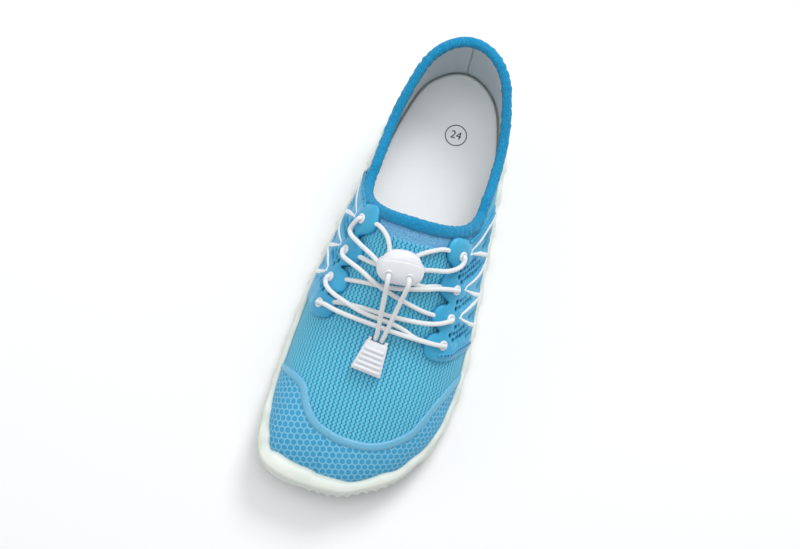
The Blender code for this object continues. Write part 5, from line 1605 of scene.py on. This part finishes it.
def side_relief(far, share, lateral, station, tall):
    """How proud the sole's side stands, as a share: claws, and lugs and ribs round the toe."""
    past = np.mod(far - CLAW_LEAN * tall * share, CLAW_PITCH)
    back = CLAW_PITCH - past
    width = CLAW_WIDTH * np.clip(1.0 - share / CLAW_TOP, 0.0, 1.0) ** 0.6 + 0.01 * MM
    claw = np.maximum(1 - back / width, 0.0) + np.maximum(1 - past / (1.2 * MM), 0.0)
    claw = np.clip(claw, 0, 1) * (share < CLAW_TOP)
    fade = 1 - smoothstep(station, 0.86, 0.93)
    toe = smoothstep(station, 0.90, 0.95)
    ribs = 0.5 + 0.5 * np.cos(far / RIB_PITCH * 2 * math.pi)
    petal = np.abs(np.sin(far / PETAL_PITCH * math.pi)) ** 0.6
    return claw * fade + np.where(lateral, ribs, petal) * (share < 0.62) * toe


def hugged(index, height, gap):
    """Places a gap off the upper's surface, at heights over points of the outline."""
    foot = FOOT[index]
    px, py = pole(station_of(foot[:, 1]))
    way = np.stack([px, py], axis=1) - foot
    t = np.linspace(0.0, 0.6, 60)
    pattern = foot[None] + way[None] * t[:, None, None]
    points = last_point(pattern[..., 0], pattern[..., 1])
    at = (points[..., 2] < height).sum(axis=0).clip(1, len(t) - 1)
    k = np.arange(len(index))
    low, high = points[at - 1, k], points[at, k]
    share = np.clip((height - low[:, 2]) / np.maximum(high[:, 2] - low[:, 2], 1e-9), 0, 1)
    return low[:, :2] + (high - low)[:, :2] * share[:, None] + DENSE_NORMAL[index] * gap


def drawn_in(index, amount, z=None):
    """Points of the sole's ring drawn in by an amount, at a height or else on the foot bed."""
    ring = DENSE[index] - DENSE_NORMAL[index] * np.broadcast_to(amount, len(index))[:, None]
    if z is None:
        z = bed_height(station_of(ring[:, 1]))
    return np.column_stack([ring, z])


def make_sole(looks, pairs=330):
    """The rubber sole: its plate, the side with its claws, and the rim."""
    index = ring_indices(pairs)
    count = 2 * pairs
    s = station_of(DENSE[index][:, 1])
    lateral = np.arange(count) <= pairs
    floor = floor_line(s)
    under = floor + LUG_HEIGHT + ARCH_RISE * np.exp(-(((s - 0.40) / 0.10) ** 2))
    top = rim_top(s, lateral)
    wall = rim_thickness(s, lateral)
    far = side_lengths(pairs)
    tall = top - floor
    claw = side_relief(far, 0.0, lateral, s, tall) > 0.12
    edge = np.where(claw, floor, under)
    levels = [(8.5 * MM, under), (7.6 * MM, edge), (2.2 * MM, edge), (1.0 * MM, edge + 0.3 * MM)]
    for share in np.linspace(0.06, 0.86, 20):
        z = np.maximum(floor + tall * share, edge + (0.4 + share * 2) * MM)
        proud = side_relief(far, share, lateral, s, tall) * MM * min(1.0, (1 - share) / 0.2)
        levels.append((0.75 * MM * max(0.0, 1 - share / 0.25) ** 2 - proud, z))
    levels += [(0.15 * MM, top - 1.3 * MM), (0.45 * MM, top - 0.6 * MM),
               (1.0 * MM, top - 0.12 * MM), (wall - 0.2 * MM, top)]
    rings = [drawn_in(index, amount, z) for amount, z in levels]
    # The rim's lip leans on the upper, and its inner wall goes down to the foot bed
    for drop, lowered in ((0.0, 0.05 * MM), (0.25 * MM, 0.25 * MM), (1.5 * MM, 1.5 * MM)):
        rings.append(np.column_stack([hugged(index, top - drop, 0.12 * MM), top - lowered]))
    rings += [drawn_in(index, wall + 0.55 * MM, top - 4.0 * MM), drawn_in(index, wall)]
    rings = np.array(rings)
    bm = grid_mesh(count, len(rings), lambda i, j: rings[j, i])
    between(bm, rings[0][:, :2], pairs, UNDER_ROWS, lambda p, i, j: under[i] + (
        under[(count - i) % count] - under[i]) * j / (UNDER_ROWS - 1))
    between(bm, rings[-1][:, :2], pairs, UNDER_ROWS,
            lambda p, i, j: bed_height(station_of(p[:, 1])))
    bmesh.ops.remove_doubles(bm, verts=bm.verts, dist=2e-5)
    outward(bm)
    piece = new_piece("rubber_sole", bm, looks)
    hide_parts("outsole")


def make_tread(looks):
    """The leaf-shaped lugs under the sole."""
    tread = bmesh.new()
    for station, offset, half_length, half_width, turn in TREAD:
        a, b = half_length * LENGTH, half_width * BALL_WIDTH
        leaf = [(-b, 0.3 * a), (-0.5 * b, -0.6 * a), (0, -a), (0.5 * b, -0.6 * a), (b, 0.3 * a),
                (0.45 * b, 0.55 * a), (0, 0.25 * a), (-0.45 * b, 0.55 * a)]
        low = float(floor_line(station))
        before = set(tread.verts)
        verts = [tread.verts.new((x, y, low)) for x, y in spline_through(leaf, 3, True)]
        raised = bmesh.ops.extrude_face_region(
            tread, geom=[tread.faces.new(verts)], use_keep_orig=True)["geom"]
        raised = [v for v in raised if isinstance(v, bmesh.types.BMVert)]
        bmesh.ops.translate(tread, vec=(0, 0, TREAD_DEPTH), verts=raised)
        place = (Matrix.Translation((offset * BALL_WIDTH, float(y_of(station)), 0.0))
                 @ Matrix.Rotation(math.radians(turn), 4, "Z"))
        made = [v for v in tread.verts if v not in before]
        bmesh.ops.transform(tread, matrix=place, verts=made)
        lower = [e for e in tread.edges if e.verts[0] not in before
                 and all(abs(v.co.z - low) < 1e-6 for v in e.verts)]
        bmesh.ops.bevel(tread, geom=lower, offset=0.5 * MM, offset_type="OFFSET", segments=2,
                        profile=0.5, affect="EDGES", material=-1)
    outward(tread)
    new_piece("tread_lugs", tread, looks, smooth=False)


def make_footbed(looks, pairs=120):
    """The foam footbed, and a function of its top's height for the print on it."""
    index = ring_indices(pairs)
    lateral = np.arange(2 * pairs) <= pairs
    wall = rim_thickness(station_of(DENSE[index][:, 1]), lateral) + UPPER_WALL + 5.6 * CLEARANCE
    thick = INSOLE_THICKNESS
    rings = np.array([
        drawn_in(index, wall + inset) + (0, 0, height)
        for inset, height in ((0.0, 0.4 * MM), (0.1 * MM, thick - 0.8 * MM),
                              (0.5 * MM, thick - 0.2 * MM), (1.2 * MM, thick))])
    bm = grid_mesh(2 * pairs, len(rings), lambda i, j: rings[j, i])
    between(bm, rings[0][:, :2], pairs, 5,
            lambda p, i, j: bed_height(station_of(p[:, 1])) + 0.4 * MM)
    between(bm, rings[-1][:, :2], pairs, FOOTBED_ROWS,
            lambda p, i, j: bed_height(station_of(p[:, 1])) + thick
            - FOOTBED_DIP * np.sin(np.pi * j / (FOOTBED_ROWS - 1)) ** 2)
    bmesh.ops.remove_doubles(bm, verts=bm.verts, dist=2e-5)
    outward(bm)
    piece = new_piece("foam_footbed", bm, looks)
    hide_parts("insole")
    sides = [rings[-1][1:pairs], rings[-1][pairs + 1:]]
    tables = [side[np.argsort(side[:, 1])] for side in sides]

    def height(x, y):
        a, b = (np.interp(y, side[:, 1], side[:, 0]) for side in tables)
        dip = FOOTBED_DIP * math.sin(math.pi * (x - a) / (b - a)) ** 2
        return float(bed_height(station_of(y))) + thick - dip

    return height


def make_print(looks, height):
    """The printed ring and its number, a thin raised ink that follows the footbed."""
    place = Matrix.Translation(PRINT_AT)

    def lay_down(bm):
        bmesh.ops.triangulate(bm, faces=[f for f in bm.faces if len(f.verts) > 4])
        bmesh.ops.subdivide_edges(bm, edges=[e for e in bm.edges if e.calc_length() > 1.2 * MM],
                                  cuts=2, use_grid_fill=False)
        bmesh.ops.triangulate(bm, faces=[f for f in bm.faces if len(f.verts) > 4])
        for vert in bm.verts:
            vert.co.z += height(vert.co.x, vert.co.y)
        outward(bm)

    bm = bmesh.new()
    inner, outer = PRINT_RING
    lathe(bm, [(inner, -0.1 * MM), (outer, -0.1 * MM), (outer, PRINT_RAISE),
               (inner, PRINT_RAISE)], place, 64)
    lay_down(bm)
    new_piece("printed_ring", bm, looks, smooth=False)
    text = bpy.data.curves.new("number", "FONT")
    text.body = "24"
    text.size = 6.2 * MM
    text.extrude = PRINT_RAISE
    text.align_x = "CENTER"
    text.align_y = "CENTER"
    letters = bpy.data.objects.new("number", text)
    graph = bpy.context.evaluated_depsgraph_get()
    bpy.context.scene.collection.objects.link(letters)
    graph.update()
    mesh = bpy.data.meshes.new_from_object(letters.evaluated_get(graph))
    bpy.data.objects.remove(letters, do_unlink=True)
    mesh.transform(place)
    bm = bmesh.new()
    bm.from_mesh(mesh)
    bpy.data.meshes.remove(mesh)
    bmesh.ops.remove_doubles(bm, verts=bm.verts, dist=1e-7)
    lay_down(bm)
    new_piece("printed_number", bm, looks, smooth=False)


def maths(tree, operation, a, b=0.0):
    """One maths node's result."""
    return add(tree, "ShaderNodeMath", {0: a, 1: b}, operation=operation).outputs[0]


def ramp(tree, value, low, high):
    """A value eased from 0 to 1 between two limits."""
    made = add(tree, "ShaderNodeMapRange", {"Value": value, "From Min": low, "From Max": high},
               interpolation_type="SMOOTHSTEP")
    return made.outputs["Result"]


def mixed(tree, share, a, b):
    """Two colours mixed by a share."""
    made = add(tree, "ShaderNodeMix", {"Factor": share}, data_type="RGBA")
    for socket, value in ((6, a), (7, b)):
        if isinstance(value, str):
            made.inputs[socket].default_value = (*linear(value), 1.0)
        else:
            tree.links.new(value, made.inputs[socket])
    return made.outputs[2]


def bumped(tree, shader, height, distance, strength=1.0):
    """Relief in millimetres on a shader's normal."""
    made = add(tree, "ShaderNodeBump", {"Height": height, "Distance": distance * MM,
                                        "Strength": strength})
    tree.links.new(made.outputs["Normal"], shader.inputs["Normal"])


def flat_places(tree, name="flat"):
    """The two millimetre coordinates of one of a piece's UV maps."""
    where = add(tree, "ShaderNodeUVMap", uv_map=name)
    split = add(tree, "ShaderNodeSeparateXYZ", {0: where.outputs["UV"]})
    return split.outputs["X"], split.outputs["Y"]


def solid_noise(tree, scale, detail=2.0):
    """Noise through the solid, its scale in bumps a metre."""
    where = add(tree, "ShaderNodeTexCoord")
    made = add(tree, "ShaderNodeTexNoise", {"Vector": where.outputs["Object"], "Scale": scale,
                                            "Detail": detail})
    return made.outputs["Fac"]


def rubber_look():
    # Moulded rubber: a dull, slightly soft off-white with a green cast and a fine matt grain
    look, tree, shader = new_look("natural_rubber_moulded", 0.52, "#E3E9E0")
    shade = solid_noise(tree, 60.0, 3.0)
    colour = mixed(tree, ramp(tree, shade, 0.3, 0.75), "#DCE3DA", "#E9EEE6")
    tree.links.new(colour, shader.inputs["Base Color"])
    bumped(tree, shader, solid_noise(tree, 2600.0), 0.04, 0.6)
    shader.inputs["Subsurface Weight"].default_value = 0.06
    shader.inputs["Subsurface Scale"].default_value = 0.004
    return look


def knit_look(settings):
    # Warp-knit polyester: light blue zigzag ribs, with painted shade in the dotted valleys between
    # them
    look, tree, shader = new_look("polyester_knit_zigzag", 0.8, ior=1.45)
    u, v = flat_places(tree)
    row, step = settings.knit_row / MM, settings.knit_zigzag / MM
    zigzag = maths(tree, "MULTIPLY", maths(tree, "PINGPONG", v, step / 2), 0.84)
    across = maths(tree, "ADD", u, zigzag)
    rib = maths(tree, "DIVIDE", maths(tree, "PINGPONG", across, row / 2), row / 2)
    stitch = maths(tree, "DIVIDE", maths(tree, "PINGPONG", v, step / 4), step / 4)
    hole = maths(tree, "ADD", rib, maths(tree, "MULTIPLY", stitch, 0.22))
    share = ramp(tree, hole, 0.12, 0.48)
    loops = solid_noise(tree, 1900.0)
    lit = mixed(tree, loops, "#4FBBDD", "#6CCEEA")
    # The dark valley colour is painted shade in the valleys and open stitches; the ribs keep the
    # yarn's blue
    colour = mixed(tree, share, "#1F7BB0", lit)
    far, station = flat_places(tree, "rim")
    strip = maths(tree, "SUBTRACT", 1.0, ramp(tree, far, 5.6, 7.6))
    strip = maths(tree, "MULTIPLY", strip, ramp(tree, station, 38.0, 43.0))
    heather = mixed(tree, ramp(tree, solid_noise(tree, 2400.0), 0.35, 0.65), "#4592C6", "#86C2E2")
    colour = mixed(tree, strip, colour, heather)
    colour = mixed(tree, ramp(tree, far, -4.0, -6.0), colour, "#DDE6EA")
    tree.links.new(colour, shader.inputs["Base Color"])
    shader.inputs["Sheen Weight"].default_value = 0.08
    shader.inputs["Sheen Roughness"].default_value = 0.5
    plain = maths(tree, "MULTIPLY", share, maths(tree, "SUBTRACT", 1.0, strip))
    height = maths(tree, "ADD", plain, maths(tree, "MULTIPLY", loops, 0.25))
    bumped(tree, shader, height, 0.55)
    return look


def mesh_look():
    # Open warp-knit mesh: pale blue yarn ribs with a soft sheen
    look, tree, shader = new_look("polyester_mesh_ribs", 0.7, ior=1.45)
    colour = mixed(tree, solid_noise(tree, 900.0), "#6BB9DC", "#8BCDE9")
    tree.links.new(colour, shader.inputs["Base Color"])
    bumped(tree, shader, solid_noise(tree, 3200.0), 0.08, 0.8)
    return look


def mesh_floor_look():
    # The mesh's lining seen down the cells: a flatter, deeper blue
    look, tree, shader = new_look("polyester_lining_woven", 0.85, "#3FA0CD", ior=1.45)
    bumped(tree, shader, solid_noise(tree, 2600.0), 0.06, 0.7)
    return look


def net_floor_look():
    # The lining under the windows' nets: dark blue, in shade
    return new_look("polyester_lining_dark", 0.85, "#0E5F96", ior=1.45)[0]


def cage_look():
    # Moulded thermoplastic urethane: smooth clear sky blue with a broad satin highlight
    look, tree, shader = new_look("tpu_moulded_satin", 0.42)
    colour = mixed(tree, ramp(tree, solid_noise(tree, 40.0), 0.3, 0.7), "#2E9FCB", "#3DABD5")
    tree.links.new(colour, shader.inputs["Base Color"])
    bumped(tree, shader, solid_noise(tree, 1500.0), 0.03, 0.5)
    return look


def panel_look():
    # Frosted urethane over the collar's foam: paler than the cage, with a soft satin face
    return new_look("tpu_frosted_satin", 0.5, "#5DB2D9")[0]


def band_look():
    # Hot-melt film: smooth pale periwinkle blue with a soft satin face
    return new_look("hot_melt_film", 0.45, "#6DB5D6")[0]


def plush_look():
    # Short-pile polyester plush: saturated azure with a fuzzy nap, its lighter flecks partly random
    # tone and partly painted highlight
    look, tree, shader = new_look("polyester_plush_napped", 0.95, ior=1.35)
    fine = solid_noise(tree, 1500.0, 3.0)
    # The lighter colour mixed in by fine noise is partly the pile's random tone and partly painted
    # highlight on the nap
    colour = mixed(tree, ramp(tree, fine, 0.3, 0.72), "#0A78AA", "#179CCB")
    tree.links.new(colour, shader.inputs["Base Color"])
    shader.inputs["Sheen Weight"].default_value = 0.12
    shader.inputs["Sheen Roughness"].default_value = 0.6
    bumped(tree, shader, fine, 0.5)
    return look


def gloss_look():
    # Injection-moulded acetal: bright white with a sharp wet highlight
    look, _, shader = new_look("acetal_gloss_moulded", 0.2, "#E3E5EA", ior=1.48)
    shader.inputs["Subsurface Weight"].default_value = 0.05
    shader.inputs["Subsurface Scale"].default_value = 0.002
    return look


def line_look():
    # Printed urethane line: clean white with a satin face
    return new_look("tpu_printed_white", 0.45, "#EFF4F7")[0]


def cord_look():
    # Braided elastic cord: white yarns crossing on the slant, with painted shade in the grooves
    # between them and a faint sheen
    look, tree, shader = new_look("elastic_cord_braided", 0.7, ior=1.45)
    u, v = flat_places(tree)
    slant = maths(tree, "MULTIPLY", v, 0.9)
    one, two = (maths(tree, "PINGPONG", maths(tree, way, u, slant), 0.33)
                for way in ("ADD", "SUBTRACT"))
    weave = maths(tree, "MULTIPLY", maths(tree, "MINIMUM", one, two), 3.0)
    # Greyer where the yarns meet: painted shade in the braid's grooves
    colour = mixed(tree, ramp(tree, weave, 0.0, 0.45), "#E4E8EA", "#FAFBFB")
    tree.links.new(colour, shader.inputs["Base Color"])
    bumped(tree, shader, weave, 0.16)
    return look


def foam_look():
    # Cloth-faced foam footbed: soft cool white with a fine weave
    look, tree, shader = new_look("foam_cloth_laminated", 0.9, ior=1.4)
    colour = mixed(tree, solid_noise(tree, 1400.0), "#F3F4F4", "#FCFCFC")
    tree.links.new(colour, shader.inputs["Base Color"])
    bumped(tree, shader, solid_noise(tree, 2400.0), 0.1, 0.8)
    return look


def ink_look():
    # Screen-printed ink: flat and nearly black
    return new_look("screen_ink_black", 0.7, "#27323A")[0]


def make_camera(settings):
    """The camera stands where the photo's did over this shoe, and takes in the whole shoe."""
    data = bpy.data.cameras.new("photo_camera")
    data.lens = settings.lens
    data.sensor_width = 36.0
    data.dof.use_dof = False
    camera = bpy.data.objects.new("photo_camera", data)
    bpy.context.scene.collection.objects.link(camera)
    camera.location = CAMERA_AT
    back = (camera.location - Vector(CAMERA_AIM)).normalized()
    up = Vector(CAMERA_UP)
    up = (up - back * up.dot(back)).normalized()
    right = up.cross(back)
    camera.rotation_mode = "QUATERNION"
    turn = Matrix((right, up, back)).transposed()
    camera.rotation_quaternion = turn.to_quaternion()
    bpy.context.scene.camera = camera


def soft_light(name, place, aim, size, power):
    data = bpy.data.lights.new(name, "AREA")
    data.shape = "DISK"
    data.size = size
    data.energy = power
    light = bpy.data.objects.new(name, data)
    bpy.context.scene.collection.objects.link(light)
    light.location = place
    light.rotation_mode = "QUATERNION"
    way = Vector(aim) - Vector(place)
    light.rotation_quaternion = way.to_track_quat("-Z", "Y")


def make_stage(settings):
    """A plain pale floor under soft studio light."""
    floor_look = new_look("studio_card_white", 0.9, "#F4F5F6", ior=1.3)[0]
    bm = bmesh.new()
    bmesh.ops.create_grid(bm, x_segments=1, y_segments=1, size=settings.floor_size / 2)
    mesh = bpy.data.meshes.new("studio_floor")
    bm.to_mesh(mesh)
    bm.free()
    mesh.materials.append(floor_look)
    floor = bpy.data.objects.new("studio_floor", mesh)
    bpy.context.scene.collection.objects.link(floor)
    for name, place, size, watts in LIGHTS:
        soft_light(name, place, LIGHTS_AIM, size, watts * settings.key)
    world = bpy.data.worlds.new("studio_world")
    world.use_nodes = True
    shade = world.node_tree.nodes["Background"]
    shade.inputs["Color"].default_value = (0.98, 0.99, 1.0, 1.0)
    shade.inputs["Strength"].default_value = settings.world
    bpy.context.scene.world = world
    bpy.context.scene.view_settings.view_transform = "Standard"


class ShoeCloth(bpy.types.PropertyGroup):
    """Sizes of what is knitted and netted on the shoe."""

    knit_row: FloatProperty(
        name="Knit row", description="Spacing of the knit's zigzag ribs", default=0.0024,
        unit="LENGTH", subtype="DISTANCE")
    knit_zigzag: FloatProperty(
        name="Knit zigzag", description="Length of one zigzag along a rib", default=0.0023,
        unit="LENGTH", subtype="DISTANCE")
    toe_cell: FloatProperty(
        name="Toe cell", description="Spacing of the toe mesh's six-sided cells",
        default=0.0036, unit="LENGTH", subtype="DISTANCE")
    net_cell: FloatProperty(
        name="Net cell", description="Spacing of the holes of the cage's nets",
        default=0.0034, unit="LENGTH", subtype="DISTANCE")
    net_rib: FloatProperty(
        name="Net rib", description="Width of the cage's web between two holes",
        default=0.0009, unit="LENGTH", subtype="DISTANCE")


class ShoeStudio(bpy.types.PropertyGroup):
    """The camera, the floor and the light."""

    lens: FloatProperty(
        name="Lens", description="Focal length in millimetres on a 36 mm sensor", default=84.0)
    floor_size: FloatProperty(
        name="Floor size", description="Side of the square floor", default=6.0,
        unit="LENGTH", subtype="DISTANCE")
    key: FloatProperty(
        name="Light", description="Strength of the studio lights", default=1.0,
        subtype="FACTOR")
    world: FloatProperty(
        name="Surround", description="Strength of the light from all round", default=0.5,
        subtype="FACTOR")


class SHOE_OT_stage(bpy.types.Operator):
    """Set up the camera, the floor and the soft light"""

    bl_idname = "shoe.stage"
    bl_label = "Stage"

    def execute(self, context):
        make_camera(context.scene.shoe_studio)
        make_stage(context.scene.shoe_studio)
        return {"FINISHED"}


class SHOE_OT_lacing(bpy.types.Operator):
    """Make the clip, the lace's two free ends and its run through the eyelets"""

    bl_idname = "shoe.lacing"
    bl_label = "Lace and clip"

    def execute(self, context):
        cord = [cord_look()]
        clip = make_clip([gloss_look()])
        make_ends(cord)
        make_lace(cord)
        return {"FINISHED"}


class SHOE_OT_hardware(bpy.types.Operator):
    """Make the cord lock and the eyelets"""

    bl_idname = "shoe.hardware"
    bl_label = "Lock and eyelets"

    def execute(self, context):
        gloss = [gloss_look()]
        make_lock(gloss)
        make_eyelets(gloss)
        return {"FINISHED"}


class SHOE_OT_upper(bpy.types.Operator):
    """Make the knit upper, its plush collar, the toe's mesh and the band"""

    bl_idname = "shoe.upper"
    bl_label = "Upper"

    def execute(self, context):
        cloth = context.scene.shoe_cloth
        outer, normals = make_upper([knit_look(cloth)])
        make_collar(outer, normals, [plush_look()])
        make_toe_net([mesh_look(), mesh_floor_look()], cloth)
        make_band([band_look()])
        return {"FINISHED"}


class SHOE_OT_cage(bpy.types.Operator):
    """Make the moulded cage of both sides, with its nets and white lines"""

    bl_idname = "shoe.cage"
    bl_label = "Cage"

    def execute(self, context):
        cloth = context.scene.shoe_cloth
        moulded, lining, lines = [cage_look()], [net_floor_look()], [line_look()]
        for side in ("lateral", "medial"):
            make_cage(side, moulded, lining, lines, cloth)
            make_trim(side, moulded, [panel_look()], lining)
        return {"FINISHED"}


class SHOE_OT_sole(bpy.types.Operator):
    """Make the rubber sole with its tread, and the footbed with its print"""

    bl_idname = "shoe.sole"
    bl_label = "Sole and footbed"

    def execute(self, context):
        rubber = [rubber_look()]
        make_sole(rubber)
        make_tread(rubber)
        make_print([ink_look()], make_footbed([foam_look()]))
        return {"FINISHED"}


class SHOE_PT_panel(bpy.types.Panel):
    """The shoe's pieces and their sizes"""

    bl_idname = "SHOE_PT_panel"
    bl_label = "Water shoe"
    bl_space_type = "VIEW_3D"
    bl_region_type = "UI"
    bl_category = "Water shoe"

    def draw(self, context):
        layout = self.layout
        for name in ("knit_row", "knit_zigzag", "toe_cell", "net_cell", "net_rib"):
            layout.prop(context.scene.shoe_cloth, name)
        for name in ("lens", "floor_size", "key", "world"):
            layout.prop(context.scene.shoe_studio, name)
        for step in STEPS:
            layout.operator(step.bl_idname)


STEPS = (SHOE_OT_stage, SHOE_OT_lacing, SHOE_OT_hardware, SHOE_OT_upper, SHOE_OT_cage,
         SHOE_OT_sole)
CLASSES = (ShoeCloth, ShoeStudio, *STEPS, SHOE_PT_panel)


def register():
    for kind in CLASSES:
        bpy.utils.register_class(kind)
    bpy.types.Scene.shoe_cloth = PointerProperty(type=ShoeCloth)
    bpy.types.Scene.shoe_studio = PointerProperty(type=ShoeStudio)


def unregister():
    del bpy.types.Scene.shoe_studio
    del bpy.types.Scene.shoe_cloth
    for kind in reversed(CLASSES):
        bpy.utils.unregister_class(kind)


def main():
    register()
    for step in (bpy.ops.shoe.stage, bpy.ops.shoe.lacing, bpy.ops.shoe.hardware,
                 bpy.ops.shoe.upper, bpy.ops.shoe.cage, bpy.ops.shoe.sole):
        step()


if __name__ == "__main__":
    main()
